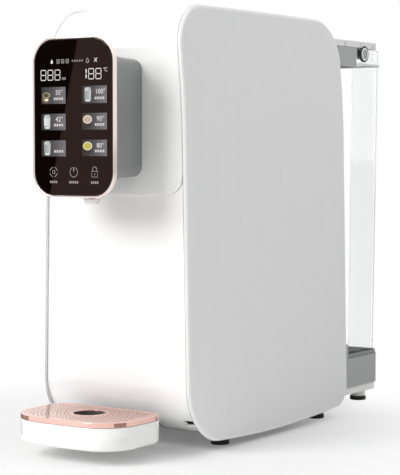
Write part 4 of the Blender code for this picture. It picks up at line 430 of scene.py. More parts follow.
def extruded_silicone():
    """Extruded silicone hose: milky, soft and slightly see-through."""
    made, tree, shader = surface("extruded_silicone", Roughness=0.4, IOR=1.41, Subsurface_Weight=0.2,
                                 Subsurface_Scale=0.003)
    # The milkiness is cloudy over about 5 mm.
    vary(tree, shader, mottle(tree, 5.0), finishes().hose, (0.94, 1.0), (0.34, 0.48))
    return made


def moulded_filter_shell():
    """Polypropylene filter shell: a waxy satin white with flow marks."""
    made, tree, shader = surface("moulded_filter_shell", Roughness=0.35, IOR=1.49)
    # Flow marks are about 12 mm apart and four times as long upright.
    vary(tree, shader, mottle(tree, 12.0, (1.0, 1.0, 4.0)), finishes().filter, (0.95, 1.0), (0.28, 0.42))
    return made


def lit_display_film():
    """Printed film lit from behind: each figure glows in its own tint, a little unevenly."""
    made, tree, shader = surface("lit_display_film", Roughness=0.3, IOR=1.5, Emission_Strength=0.9)
    shader.inputs["Base Color"].default_value = linear("#050505")
    # The tints are written on the film's corners, and the light behind it varies over 6 mm.
    tints = add_node(tree, "ShaderNodeVertexColor", layer_name="tint")
    uneven = mottle(tree, 6.0)
    glow = add_node(tree, "ShaderNodeMapRange", {"To Min": 0.9, "To Max": 1.1}, {"Value": uneven.outputs["Fac"]})
    mixed = add_node(tree, "ShaderNodeMix", {"Factor": 1.0},
                     {"A": tints.outputs["Color"], "B": glow.outputs["Result"]},
                     data_type="RGBA", blend_type="MULTIPLY")
    tree.links.new(mixed.outputs[2], shader.inputs["Emission Color"])
    return made


# The finishes made so far, by the names of their makers
MADE = {}


def material(maker):
    """Return a finish, made the first time that it is asked for."""
    if maker.__name__ not in MADE:
        MADE[maker.__name__] = maker()
    return MADE[maker.__name__]


# Shapes

def place(name, data):
    """Put a mesh, a curve, a lamp or a camera into the scene."""
    made = bpy.data.objects.new(name, data)
    bpy.context.scene.collection.objects.link(made)
    return made


def as_piece(name, shape, angle=35):
    """Turn a bmesh, its faces as they lie, into a smooth-shaded piece."""
    mesh = bpy.data.meshes.new(name)
    shape.to_mesh(mesh)
    shape.free()
    piece = place(name, mesh)
    smooth(piece, angle)
    return piece


def settle(name, shape, angle=35):
    """Turn a closed bmesh into a smooth-shaded piece whose faces look outward."""
    bmesh.ops.recalc_face_normals(shape, faces=shape.faces)
    return as_piece(name, shape, angle)


def smooth(piece, angle=35):
    """Shade a piece smooth below an angle in degrees."""
    piece.data.shade_smooth()
    piece.data.set_sharp_from_angle(angle=math.radians(angle))


def final_mesh(piece):
    """Return a new mesh of a piece or a curve with its modifiers applied."""
    bpy.context.view_layer.update()
    graph = bpy.context.evaluated_depsgraph_get()
    return bpy.data.meshes.new_from_object(piece.evaluated_get(graph))


def bake(piece, angle=35):
    """Apply a piece's modifiers and its place."""
    mesh = final_mesh(piece)
    mesh.transform(piece.matrix_world)
    name = piece.name
    bpy.data.objects.remove(piece, do_unlink=True)
    mesh.name = name
    made = place(name, mesh)
    smooth(made, angle)
    return made


def carve(piece, *tools, operation="DIFFERENCE", angle=35):
    """Cut tools out of a piece, or join or trim it with them, and remove the tools."""
    for tool in tools:
        step = piece.modifiers.new("carve", "BOOLEAN")
        step.operation = operation
        step.solver = "EXACT"
        step.object = tool
    made = bake(piece, angle)
    for tool in tools:
        bpy.data.objects.remove(tool, do_unlink=True)
    return made


def join(name, parts, angle=50):
    """Join pieces into one mesh, as they are, and remove them."""
    shape = bmesh.new()
    for part in parts:
        shape.from_mesh(part.data)
        bpy.data.objects.remove(part, do_unlink=True)
    return as_piece(name, shape, angle)


def soften(piece, width, segments=3, angle=40):
    """Round the edges that are sharper than an angle in degrees."""
    edges = piece.modifiers.new("edges", "BEVEL")
    edges.width = width
    edges.segments = segments
    edges.limit_method = "ANGLE"
    edges.angle_limit = math.radians(angle)
    return level(bake(piece, 50))


def level(piece):
    """Let the flat faces lead the shading, so that they stay even beside small rounded edges."""
    weight = piece.modifiers.new("level", "WEIGHTED_NORMAL")
    weight.keep_sharp = True
    return piece


def fit(piece, maker, rides, *nodes):
    """Give a piece its finish, its body and the solids that it stands for."""
    piece.data.materials.clear()
    piece.data.materials.append(material(maker))
    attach(piece, rides)
    if nodes:
        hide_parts(*nodes)
    return piece


def circle_steps(count):
    """Return the cosine and the sine of evenly spaced angles round a circle."""
    return [(math.cos(2 * math.pi * step / count), math.sin(2 * math.pi * step / count)) for step in range(count)]


def rounded(half_wide, low, high, corner_low, corner_high, steps=14, bow=0.0):
    """Return a rectangle about x = 0 between two places, with its own radius at each end and a bowed low end."""
    points = []
    corners = ((half_wide, low, corner_low, -math.pi / 2, 1, 1), (half_wide, high, corner_high, 0.0, 1, -1),
               (-half_wide, high, corner_high, math.pi / 2, -1, -1), (-half_wide, low, corner_low, math.pi, -1, 1))
    for edge_x, edge_y, radius, start, side_x, side_y in corners:
        middle = (edge_x - side_x * radius, edge_y + side_y * radius)
        for step in range(steps + 1):
            angle = start + math.pi / 2 * step / steps
            points.append((middle[0] + radius * math.cos(angle), middle[1] + radius * math.sin(angle)))
    if bow:
        flat = half_wide - corner_low
        points += [(-flat + 2 * flat * step / steps, low) for step in range(1, steps)]
        middle = (low + high) / 2
        points = [(x, y - bow * (1 - (x / half_wide) ** 2) if y < middle else y) for x, y in points]
    return points


def skin(name, rings, caps="both", angle=35):
    """Skin a run of closed rings of equally many points; close both ends, neither, or join the last to the first."""
    shape = bmesh.new()
    loops = [[shape.verts.new(point) for point in ring] for ring in rings]
    count = len(rings[0])
    pairs = list(zip(loops, loops[1:]))
    if caps == "joined":
        pairs.append((loops[-1], loops[0]))
    for lower, upper in pairs:
        for step in range(count):
            following = (step + 1) % count
            shape.faces.new((lower[step], lower[following], upper[following], upper[step]))
    if caps == "both":
        shape.faces.new(loops[0][::-1])
        shape.faces.new(loops[-1])
    return settle(name, shape, angle)


def turned(name, profile, centre, axis="Z", steps=64, edge=0.0, angle=35):
    """Turn a closed profile of (radius, height) points about an axis, with its corners rounded."""
    points = round_off(profile, edge) if edge else profile
    spin = {"Z": Matrix.Identity(3), "X": Matrix.Rotation(math.pi / 2, 3, "Y"),
            "Y": Matrix.Rotation(-math.pi / 2, 3, "X")}[axis]
    shape = bmesh.new()
    loops = []
    for radius, height in points:
        if radius == 0.0:
            loops.append([shape.verts.new(Vector(centre) + spin @ Vector((0.0, 0.0, height)))])
            continue
        loops.append([shape.verts.new(Vector(centre) + spin @ Vector((radius * across, radius * up, height)))
                      for across, up in circle_steps(steps)])
    pairs = list(zip(loops, loops[1:]))
    if profile[0][0] > 0.0:
        pairs.append((loops[-1], loops[0]))
    for first, second in pairs:
        for step in range(steps):
            following = (step + 1) % steps
            ring = [first[step % len(first)], first[following % len(first)], second[following % len(second)],
                    second[step % len(second)]]
            corners = list(dict.fromkeys(ring))
            if len(corners) > 2:
                shape.faces.new(corners)
    return settle(name, shape, angle)


def round_off(profile, radius, steps=4):
    """Replace a profile's corners by short curves; the ends on the axis stay."""
    closed = profile[0][0] > 0.0
    count = len(profile)
    points = []
    for number, spot in enumerate(profile):
        if not closed and number in (0, count - 1):
            points.append(spot)
            continue
        here = Vector(spot)
        before = Vector(profile[number - 1]) - here
        after = Vector(profile[(number + 1) % count]) - here
        reach = min(radius, before.length * 0.45, after.length * 0.45)
        first = here + before.normalized() * reach
        last = here + after.normalized() * reach
        for step in range(steps + 1):
            share = step / steps
            spot = first * (1 - share) ** 2 + here * 2 * share * (1 - share) + last * share ** 2
            points.append((spot.x, spot.y))
    return points


def slab(name, outline, low, high, holes=()):
    """Extrude a flat outline with holes between two heights."""
    curve = bpy.data.curves.new(name, "CURVE")
    curve.dimensions = "2D"
    curve.fill_mode = "BOTH"
    curve.extrude = abs(high - low) / 2
    for ring in (outline, *holes):
        run = curve.splines.new("POLY")
        run.points.add(len(ring) - 1)
        for point, (first, second) in zip(run.points, ring):
            point.co = (first, second, 0.0, 1.0)
        run.use_cyclic_u = True
    piece = place(name, curve)
    piece.matrix_world = Matrix.Translation((0.0, 0.0, (low + high) / 2))
    made = bake(piece)
    shape = bmesh.new()
    shape.from_mesh(made.data)
    bmesh.ops.remove_doubles(shape, verts=shape.verts, dist=0.000001)
    bmesh.ops.dissolve_limit(shape, angle_limit=math.radians(1), verts=shape.verts, edges=shape.edges)
    bmesh.ops.recalc_face_normals(shape, faces=shape.faces)
    shape.to_mesh(made.data)
    shape.free()
    smooth(made)
    return made


def block(name, low, high):
    """Return a box between two corners, to cut with or to add."""
    shape = bmesh.new()
    size = Vector(high) - Vector(low)
    middle = (Vector(high) + Vector(low)) / 2
    bmesh.ops.create_cube(shape, size=1.0, matrix=Matrix.Translation(middle) @ Matrix.Diagonal((*size, 1.0)))
    return settle(name, shape)


def rod(name, centre, radius, long, axis="Z", steps=64):
    """Return a round rod centred at a point along a named axis, to cut with or to add."""
    profile = [(0.0, long / 2), (radius, long / 2), (radius, -long / 2), (0.0, -long / 2)]
    return turned(name, profile, centre, axis, steps)


def thicken(piece, wall):
    """Give a sheet a wall on its inner side."""
    step = piece.modifiers.new("wall", "SOLIDIFY")
    step.thickness = wall
    step.offset = -1.0
    return bake(piece, 30)


def face_out(shape, outward):
    """Turn a sheet's faces so that its middle looks outward."""
    shape.normal_update()
    middle = max(shape.faces, key=lambda face: face.calc_area())
    if middle.normal.dot(Vector(outward)) < 0:
        bmesh.ops.reverse_faces(shape, faces=shape.faces)


def sheet(name, rows, outward):
    """Return a grid of points as a one-sided sheet."""
    wide = len(rows[0])
    shape = bmesh.new()
    verts = [[shape.verts.new(point) for point in row] for row in rows]
    for lower, upper in zip(verts, verts[1:]):
        for step in range(wide - 1):
            shape.faces.new((lower[step], lower[step + 1], upper[step + 1], upper[step]))
    face_out(shape, outward)
    return as_piece(name, shape, 30)


# Body

def half_width(height):
    """Return half the width over the side panels at a height."""
    sizes = body()
    rise = (height - sizes.foot) / sizes.height
    # The tuck takes up the top three tenths of the height.
    tuck = max(0.0, (rise - 0.70) / 0.30)
    return sizes.half - sizes.lean * rise - sizes.tuck * tuck ** 2


def cover_half(height):
    """Return the half width of the covers, which end just inside the side panels' rims."""
    return half_width(height) - body().rim - SEAM


def corner_draw(radius, reach):
    """Return how far a round corner draws in at a distance from the edge that it ends on."""
    if reach >= radius:
        return 0.0
    return radius - math.sqrt(max(0.0, radius ** 2 - (radius - max(0.0, reach)) ** 2))


def corner_steps(radius, count):
    """Return distances from an edge that follow a round corner at even angles."""
    return [radius * (1 - math.cos(math.pi / 2 * step / count)) for step in range(count + 1)]


def side_ring(inset, steps=16, side=10):
    """Return the body's side view as a ring of (depth, height) points, moved in by an inset."""
    sizes = body()
    low, high = sizes.foot + inset, sizes.foot + sizes.height - inset
    front, rear = deep(inset), deep(sizes.depth - inset)
    corners = ((front, low, sizes.front_foot, math.pi, 1, 1), (rear, low, sizes.rear_foot, -math.pi / 2, -1, 1),
               (rear, high, sizes.rear_top, 0.0, -1, -1), (front, high, sizes.front_top, math.pi / 2, 1, -1))
    runs = []
    for edge_y, edge_z, radius, start, side_y, side_z in corners:
        bend = max(0.0001, radius - inset)
        middle = (edge_y + side_y * bend, edge_z + side_z * bend)
        runs.append([(middle[0] + bend * math.cos(start + math.pi / 2 * step / steps),
                      middle[1] + bend * math.sin(start + math.pi / 2 * step / steps)) for step in range(steps + 1)])
    ring = []
    for run, following in zip(runs, runs[1:] + runs[:1]):
        ring += run
        start, end = run[-1], following[0]
        ring += [(start[0] + (end[0] - start[0]) * step / side, start[1] + (end[1] - start[1]) * step / side)
                 for step in range(1, side)]
    return ring


def panel_spot(side, y, z, distance):
    """Return a side panel's point from its place in the side view and its distance from the outline."""
    sizes = body()
    crown_wide, bow_high = 0.060, 0.120
    turn = min(1.0, distance / sizes.rim)
    stand = sizes.rim * math.sqrt(max(0.0, 1 - (1 - turn) ** 2))
    swell = min(1.0, distance / crown_wide)
    stand += sizes.crown * swell * (2 - swell)
    along = (y - deep(0.0)) / sizes.depth
    arch = 4 * along * (1 - along)
    sag = sizes.foot_bow * arch * max(0.0, 1 - (z - sizes.foot) / bow_high)
    lift = sizes.top_bow * arch * max(0.0, 1 - (sizes.foot + sizes.height - z) / bow_high)
    return (side * (half_width(z) - sizes.rim + stand), y, z - sag + lift)


def make_side_panel(side):
    """Make one pillow-shaped side panel as a thin dish.

    Its face is satin, its rim is polished, and the rim's first narrow ring is the fine grey line beside the covers.
    """
    sizes = body()
    face_mark, rim_mark, seam_shade_mark = 0, 1, 2
    shares = (0.0, 0.03, 0.1, 0.2, 0.35, 0.52, 0.72, 1.0)
    insets = [sizes.rim * share for share in shares] + [0.005, 0.008, 0.012, 0.018, 0.026, 0.036, 0.048, 0.062]
    shape = bmesh.new()
    polished = shape.faces.layers.int.new("polished")
    loops = []
    for inset in insets:
        ring = side_ring(inset)
        loops.append([shape.verts.new(panel_spot(side, y, z, inset)) for y, z in ring])
    for number, (outer, inner) in enumerate(zip(loops, loops[1:])):
        mark = rim_mark if insets[number + 1] <= sizes.rim else face_mark
        for step in range(len(outer)):
            following = (step + 1) % len(outer)
            face = shape.faces.new((outer[step], outer[following], inner[following], inner[step]))
            face[polished] = seam_shade_mark if number == 0 else mark
    fill_inside(shape, loops[-1], side, insets[-1])
    face_out(shape, (side, 0.0, 0.0))
    word = "right" if side > 0 else "left"
    panel = thicken(as_piece("side_dish_" + word, shape, 60), sizes.wall)
    smooth(panel, 50)
    fit(panel, satin_streaked_abs, "service_panel" if side > 0 else "casing", "side_panel_" + word)
    panel.data.materials.append(material(gloss_moulded_abs))
    # The pale grey finish paints the seam's shade on the rim's first narrow ring.
    panel.data.materials.append(material(pale_spark_abs))
    # The inner wall copies the outer faces' marks, but the painted seam shade belongs outside alone.
    for face, mark in zip(panel.data.polygons, panel.data.attributes["polished"].data):
        inside = abs(face.center.x) < half_width(face.center.z) - sizes.rim + 0.0002
        face.material_index = rim_mark if mark.value and inside else mark.value
    return panel


def fill_inside(shape, loop, side, inset):
    """Close the panel's middle with rows across, each at its own height, so that the panel keeps its lean."""
    sizes = body()
    low, high = sizes.foot + inset, sizes.foot + sizes.height - inset
    face = shape.faces.new(loop)
    front, rear = deep(inset), deep(sizes.depth - inset)
    rows, clear = 10, 0.001
    inner = [face]
    for step in range(1, rows):
        height = low + (high - low) * step / rows
        edges = list(dict.fromkeys(edge for face in inner for edge in face.edges))
        parts = bmesh.ops.bisect_plane(shape, geom=inner + edges, plane_co=(0.0, 0.0, height),
                                       plane_no=(0.0, 0.0, 1.0), dist=0.00001)["geom"]
        inner = [part for part in parts if isinstance(part, bmesh.types.BMFace)]
    for vert in shape.verts:
        if front + clear < vert.co.y < rear - clear and low + clear < vert.co.z < high - clear:
            vert.co = panel_spot(side, vert.co.y, vert.co.z, inset)


def arc(middle_y, middle_z, radius, start, end, steps):
    """Return points of an arc in the side view, angles in degrees from +Y towards +Z."""
    points = []
    for step in range(steps + 1):
        angle = math.radians(start + (end - start) * step / steps)
        points.append((middle_y + radius * math.cos(angle), middle_z + radius * math.sin(angle)))
    return points


def strip(name, path, outward, narrow=None, columns=6):
    """Make a cover that follows a side-view path and spans between the side panels' rims."""
    rows = []
    for y, z in path:
        half = cover_half(z) - (narrow(z) if narrow else 0.0)
        rows.append([(half * (2 * column / columns - 1), y, z) for column in range(columns + 1)])
    return thicken(sheet(name, rows, outward), COVER_WALL)


def add_lips(cover, path, outward, over=SEAM - 0.0001, down=LIP_SET):
    """Join narrow lips under a cover's side edges, which close the seams to a shallow groove."""
    lap = 0.003
    parts = [cover]
    for side in (-1, 1):
        rows = [[(side * (cover_half(z) - lap), y, z), (side * (cover_half(z) + over), y, z)] for y, z in path]
        lip = sheet("lip", rows, outward)
        for vert in lip.data.vertices:
            vert.co -= vert.normal * down
        parts.append(thicken(lip, COVER_WALL - 2 * LIP_SET))
    return level(join(cover.name, parts))


def make_top_cover():
    """Make the top cover: up from the rear seam, over the top and down the front as an apron."""
    sizes = body()
    top = sizes.foot + sizes.height - COVER_SET
    front, rear = deep(COVER_SET), deep(sizes.depth - COVER_SET)
    radius, rear_radius = sizes.front_top - COVER_SET, sizes.rear_top - COVER_SET
    path = [(front, sizes.apron + sizes.apron_corner), (front, head().centre)]
    path += arc(front + radius, top - radius, radius, 180, 90, 24)
    path += arc(rear - rear_radius, top - rear_radius, rear_radius, 90, 0, 24)
    path += [(rear, sizes.seam)]
    corner = [(front, sizes.apron + step) for step in corner_steps(sizes.apron_corner, 14)]

    def narrow(height):
        """Draw the apron's sides in round its low corners."""
        return corner_draw(sizes.apron_corner, height - sizes.apron)

    cover = strip("apron_and_top", corner[:-1] + path, (0.0, 0.0, 1.0), narrow)
    neck_hole, through = 0.020, 0.020
    cover = carve(cover, rod("neck_hole", (0.0, front, head().centre), neck_hole, through, "Y"), angle=30)
    cover = add_lips(soften(cover, 0.0004, 2, 60), path, (0.0, 0.0, 1.0))
    return fit(cover, gloss_moulded_abs, "casing", "top_cover")


def make_front_panel():
    """Make the glossy lower front, which laps behind the apron and rolls under at the foot."""
    sizes = body()
    inset = COVER_SET + COVER_WALL + GAP
    front, low = deep(inset), sizes.foot + inset
    radius = sizes.front_foot - inset
    lap, end = 0.024, deep(0.058)
    path = [(front, sizes.apron + lap), (front, (sizes.apron + low + radius) / 2)]
    path += arc(front + radius, low + radius, radius, 180, 270, 28)
    path += [(end, low)]
    panel = strip("lower_front", path, (0.0, -1.0, 0.0))
    # The finger notches are ovals in both side edges, 15 mm behind the front and square to the bent face there.
    notch_back, notch_radius, notch_long, notch_top = 0.015, 0.0095, 0.008, 0.030
    bend = math.acos(1 - notch_back / radius)
    notch_y, notch_z = front + radius - radius * math.cos(bend), low + radius - radius * math.sin(bend)
    tilt = Matrix.Rotation(-(math.pi / 2 - bend), 4, "X") @ Matrix.Rotation(math.pi / 2, 4, "X")
    tools = []
    for side in (-1, 1):
        notch = rod("finger_notch", (0.0, 0.0, 0.0), notch_radius, notch_long)
        notch.data.transform(Matrix.Diagonal((1.4, 0.9, 1.0, 1.0)))
        notch.data.transform(Matrix.Translation((side * cover_half(notch_z), notch_y, notch_z)) @ tilt)
        tools.append(notch)
        tools.append(block("prong_slot", (side * PRONG - CHANNEL_HALF, deep(-0.030), CHANNEL_LOW),
                           (side * PRONG + CHANNEL_HALF, end, CHANNEL_HIGH)))
    panel = carve(panel, *tools, angle=30)
    lipped = path[:2] + [spot for spot in path[2:-1] if spot[1] > notch_top]
    panel = add_lips(soften(panel, 0.0003, 2, 60), lipped, (0.0, -1.0, 0.0), SEAM + 0.0012, 0.0002)
    return fit(panel, gloss_moulded_abs, "casing", "front_panel")


def make_feet():
    """Make the rubber pads, with a rounded tread edge and a shallow dish underneath."""
    sizes = body()
    for number in range(1, 7):
        low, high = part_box("foot_pad_%d" % number)
        centre = ((low.x + high.x) / 2, (low.y + high.y) / 2, 0.0)
        radius, top, dish = sizes.pad, sizes.pad_high, 0.0006
        profile = [(0.0, top), (radius, top), (radius, 0.0), (radius * 0.7, 0.0), (radius * 0.6, dish), (0.0, dish)]
        pad = turned("rubber_pad_%d" % number, profile, centre, steps=48, edge=0.0007)
        fit(pad, moulded_nitrile_rubber, "casing", "foot_pad_%d" % number)


# Head and spout

def head_ring(out, half_wide, half_high, corner, steps=16):
    """Return a rounded rectangle round the head's centre, this far in front of the body."""
    outline = rounded(half_wide, -half_high, half_high, corner, corner, steps)
    return [(x, deep(-out), head().centre + z) for x, z in outline]


def housing_rings(wall, over):
    """Return the housing's sections from the neck to the bezel, moved in by a wall, longer by an amount."""
    sizes = head()
    bezel_back = sizes.out + BEZEL_PROUD - sizes.deep
    swell, neck_corner = 0.0022, 0.010
    # Shares of the flare in width against shares of the reach: the neck runs straight for a while, then flares fast.
    knots = [(0.0, 0.0), (0.0, 0.45), (0.10, 0.72), (0.35, 0.86), (0.72, 0.95), (1.0, 1.0)]
    rings = []
    for share, out in curve_through(knots, 5):
        reach = out * (bezel_back - GAP)
        taper = swell * out * (1 - share)
        if out == 0.0:
            reach -= over
        if out == 1.0:
            reach += over
        rings.append(head_ring(reach, sizes.neck_wide + share * (sizes.half_wide - sizes.neck_wide) + taper - wall,
                               sizes.neck_high + share * (sizes.half_high - sizes.neck_high) + taper - wall,
                               neck_corner + share * (sizes.corner - neck_corner) - wall))
    return rings


def curve_through(knots, steps):
    """Return points along a smooth curve through knots of two numbers, kept between 0 and 1."""
    spots = [Vector(knot) for knot in knots]
    spots = [spots[0] * 2 - spots[1]] + spots + [spots[-1] * 2 - spots[-2]]
    points = []
    for first, second, third, fourth in zip(spots, spots[1:], spots[2:], spots[3:]):
        for step in range(steps):
            share = step / steps
            spot = ((second * 2) + (third - first) * share
                    + (first * 2 - second * 5 + third * 4 - fourth) * share ** 2
                    + (second * 3 - first - third * 3 + fourth) * share ** 3) / 2
            points.append((min(1.0, max(0.0, spot.x)), min(1.0, max(0.0, spot.y))))
    return points + [knots[-1]]


def make_housing():
    """Make the grey housing that flares from the body to the bezel."""
    sizes = head()
    housing = skin("head_shell", housing_rings(0.0, 0.0), angle=50)
    under = sizes.spout_top + SEAL_HIGH + GAP * 2
    stem_hole, stem_long = 0.0058, 0.0132
    seal_flat, flat_high = 0.0083, 0.0088
    centre = (0.0, deep(-sizes.spout_out), under)
    flat = (0.0, deep(-sizes.spout_out), under - 0.0044)
    housing = carve(housing, skin("hollow", housing_rings(HOUSING_WALL, CUT_OVER)),
                    rod("stem_hole", centre, stem_hole, stem_long), rod("seal_flat", flat, seal_flat, flat_high),
                    angle=50)
    return fit(housing, grey_spark_abs, "casing", "head_housing")


def make_bezel():
    """Make the bezel as a rounded band with a fine groove round its side, and the ledge that carries the glass."""
    sizes = head()
    front = sizes.out + BEZEL_PROUD
    back = front - sizes.deep
    seat = sizes.out - sizes.glass - GAP
    groove, cut, ledge = front - sizes.deep * 0.45, 0.0005, -0.004
    section = [(sizes.rim, back), (sizes.rim, groove - 0.0005), (sizes.rim - cut, groove - 0.0004),
               (sizes.rim - cut, groove + 0.0001), (sizes.rim, groove + 0.0002), (sizes.rim, front), (GAP, front),
               (GAP, seat), (ledge, seat), (ledge, back)]
    # A profile whose first reach is above 0 is rounded as a closed one, so the section is moved out by 1 and back.
    section = round_off([(reach + 1.0, out) for reach, out in section], 0.0008, 5)
    rings = [head_ring(out, sizes.half_wide + reach - 1.0, sizes.half_high + reach - 1.0, sizes.corner + reach - 1.0)
             for reach, out in section]
    return fit(skin("bezel_band", rings, "joined", 60), champagne_vacuum_plate, "casing", "head_bezel")


def make_glass():
    """Make the display glass with a finely ground edge."""
    sizes = head()
    edge = 0.0005
    rings = []
    for inset, out in ((0.0, sizes.out - sizes.glass), (0.0, sizes.out - edge), (edge * 0.3, sizes.out - edge * 0.3),
                       (edge, sizes.out)):
        rings.append(head_ring(out, sizes.half_wide - inset, sizes.half_high - inset, sizes.corner - inset))
    return fit(skin("display_pane", rings, angle=18), smoked_tempered_glass, "casing", "display_glass")


def make_spout():
    """Make the plated spout in two steps, and the seal over it."""
    sizes = head()
    centre = (0.0, deep(-sizes.spout_out), 0.0)
    bore, top, step = 0.003, sizes.spout_top, sizes.spout_step
    stem, stem_top, slope = 0.0055, 0.2520, 0.0018
    upper = turned("spout_barrel",
                   [(bore, stem_top), (stem, stem_top), (stem, top), (sizes.spout, top), (sizes.spout, step + slope),
                    (sizes.spout - slope, step), (bore, step)], centre, edge=0.0005)
    fit(upper, bright_chrome_plate, "casing", "nozzle_body")
    tip, tip_end = 0.0068, 0.0059
    collar, collar_low = tip + 0.0009, step - 0.0018
    lower = turned("spout_tip",
                   [(bore, step - GAP), (collar, step - GAP), (collar, collar_low), (tip, collar_low),
                    (tip_end, sizes.spout_low), (bore, sizes.spout_low)], centre, edge=0.0004)
    fit(lower, bright_chrome_plate, "casing", "nozzle_tip")
    inner, outer, under = 0.0058, 0.0080, top + GAP + SEAL_HIGH
    seal = turned("spout_seal", [(inner, under), (outer, under), (outer, top + GAP), (inner, top + GAP)], centre,
                  edge=0.0006)
    fit(seal, moulded_nitrile_rubber, "casing", "nozzle_seal")


# Display figures

class Film:
    """Flat printed shapes on the display, placed in millimetres from the glass's middle."""

    proud = 0.00006

    def __init__(self):
        self.shape = bmesh.new()
        self.tint = self.shape.loops.layers.float_color.new("tint")

    def put(self, points, code, far=None, lift=0.0):
        """Add one shape; its tint runs from one colour at its left to another at its right."""
        front = deep(-head().out) - self.proud - lift / 1000
        verts = [self.shape.verts.new((x / 1000, front, head().centre + z / 1000)) for x, z in points]
        face = self.shape.faces.new(verts)
        left = min(x for x, z in points)
        wide = max(x for x, z in points) - left
        near, end = linear(code), linear(far or code)
        for loop, (x, z) in zip(face.loops, points):
            share = (x - left) / wide if wide else 0.0
            loop[self.tint] = [start + (stop - start) * share for start, stop in zip(near, end)]

    def stroke(self, path, wide, code, closed=False):
        """Draw a line of a width along a path."""
        spots = [Vector(spot) for spot in path]
        count = len(spots)
        sides = []
        for number, spot in enumerate(spots):
            before = spots[number - 1] if closed or number else spot
            after = spots[(number + 1) % count] if closed or number < count - 1 else spot
            along = (after - before).normalized()
            across = Vector((-along.y, along.x)) * wide / 2
            sides.append((spot + across, spot - across))
        pairs = list(zip(sides, sides[1:]))
        if closed:
            pairs.append((sides[-1], sides[0]))
        for (first, second), (third, fourth) in pairs:
            self.put([tuple(first), tuple(second), tuple(fourth), tuple(third)], code)

    def oval(self, x, z, wide, high, code, far=None, lift=0.0, steps=24):
        """Add an oval."""
        self.put([(x + wide / 2 * across, z + high / 2 * up) for across, up in circle_steps(steps)], code, far, lift)

    def figure(self, digit, x, z, wide, high, code, thick=0.66):
        """Draw one seven-part figure from its lower left corner."""
        parts = {"0": "abcdef", "1": "bc", "2": "abged", "3": "abgcd", "4": "fgbc", "5": "afgcd", "8": "abcdefg",
                 "9": "abfgcd"}[digit]
        half, cut = thick / 2, 0.32
        spots = {"a": (x + half, z + high - half, x + wide - half, z + high - half),
                 "g": (x + half, z + high / 2, x + wide - half, z + high / 2),
                 "d": (x + half, z + half, x + wide - half, z + half),
                 "f": (x + half, z + high / 2, x + half, z + high - half),
                 "b": (x + wide - half, z + high / 2, x + wide - half, z + high - half),
                 "e": (x + half, z + half, x + half, z + high / 2),
                 "c": (x + wide - half, z + half, x + wide - half, z + high / 2)}
        for part in parts:
            x0, z0, x1, z1 = spots[part]
            if part in "agd":
                self.put([(x0 + cut - half / 2, z0), (x0 + half, z0 + half), (x1 - half, z0 + half),
                          (x1 - cut + half / 2, z0), (x1 - half, z0 - half), (x0 + half, z0 - half)], code)
            else:
                self.put([(x0, z0 + cut), (x0 - half, z0 + half + cut / 2), (x0 - half, z1 - half - cut / 2),
                          (x0, z1 - cut), (x0 + half, z1 - half - cut / 2), (x0 + half, z0 + half + cut / 2)], code)

    def words(self, text, x, z, high, code):
        """Set a number in plain type, centred at a place, this high."""
        curve = bpy.data.curves.new("type", "FONT")
        curve.body = text
        curve.align_x = "CENTER"
        curve.resolution_u = 3
        holder = place("type", curve)
        mesh = final_mesh(holder)
        heights = [vert.co.y for vert in mesh.vertices]
        scale = high / (max(heights) - min(0.0, min(heights)))
        for face in mesh.polygons:
            self.put([(x + mesh.vertices[spot].co.x * scale, z - high / 2 + mesh.vertices[spot].co.y * scale)
                      for spot in face.vertices], code, lift=0.04)
        bpy.data.objects.remove(holder, do_unlink=True)


def circle(x, z, radius, start=0.0, end=360.0, steps=32):
    """Return points of an arc round a place."""
    return [(x + radius * math.cos(math.radians(start + (end - start) * step / steps)),
             z + radius * math.sin(math.radians(start + (end - start) * step / steps))) for step in range(steps + 1)]


def drop(x, z, size):
    """Return a drop's outline."""
    return [(x, z + size)] + circle(x, z - size * 0.3, size * 0.62, 40, -220, 16)


def draw_status(film, lit):
    """Draw the status row: a drop, three level squares, five short bars, an outlined drop and crossed tools."""
    film.put(drop(-22.8, 47.8, 2.0), lit)
    for x in (-15.9, -10.9, -5.8):
        film.stroke([(x - 1.3, 46.3), (x + 1.3, 46.3), (x + 1.3, 49.4), (x - 1.3, 49.4)], 0.6, "#b9b4b0", True)
        film.put([(x - 0.6, 47.2), (x + 0.6, 47.2), (x + 0.6, 48.3), (x - 0.6, 48.3)], "#8c8783")
    for number in range(5):
        x = -0.9 + number * 2.6
        film.put([(x, 47.1), (x + 1.6, 47.1), (x + 1.6, 48.7), (x, 48.7)], "#8f8a87")
    film.stroke(drop(16.1, 47.9, 2.1)[:-1], 0.45, "#d8d4d0", True)
    film.stroke([(23.2, 46.5), (26.3, 49.7)], 0.7, lit)
    film.stroke([(23.2, 49.7), (26.3, 46.5)], 0.5, lit)


def draw_counters(film, lit):
    """Draw the amount and the temperature in seven-part figures."""
    for number in range(3):
        film.figure("8", -35.3 + number * 7.8, 31.7, 6.2, 9.2, lit)
    for number in range(3):
        film.put([(-11.6 + number * 1.5, 32.0), (-10.7 + number * 1.5, 32.0), (-10.7 + number * 1.5, 34.2),
                  (-11.6 + number * 1.5, 34.2)], "#a39e9b")
    film.put([(14.0, 32.6), (15.1, 33.2), (15.1, 35.9), (14.0, 36.1)], lit)
    film.put([(14.0, 36.9), (15.1, 37.1), (15.1, 40.2), (14.0, 40.8)], lit)
    for number in range(2):
        film.figure("8", 16.8 + number * 7.7, 31.8, 6.3, 9.3, lit)
    film.stroke(circle(33.9, 40.8, 0.6, steps=12)[:-1], 0.4, "#cfcac6", True)
    film.stroke(circle(36.1, 39.7, 1.5, 45, 315, 14), 0.5, "#cfcac6")


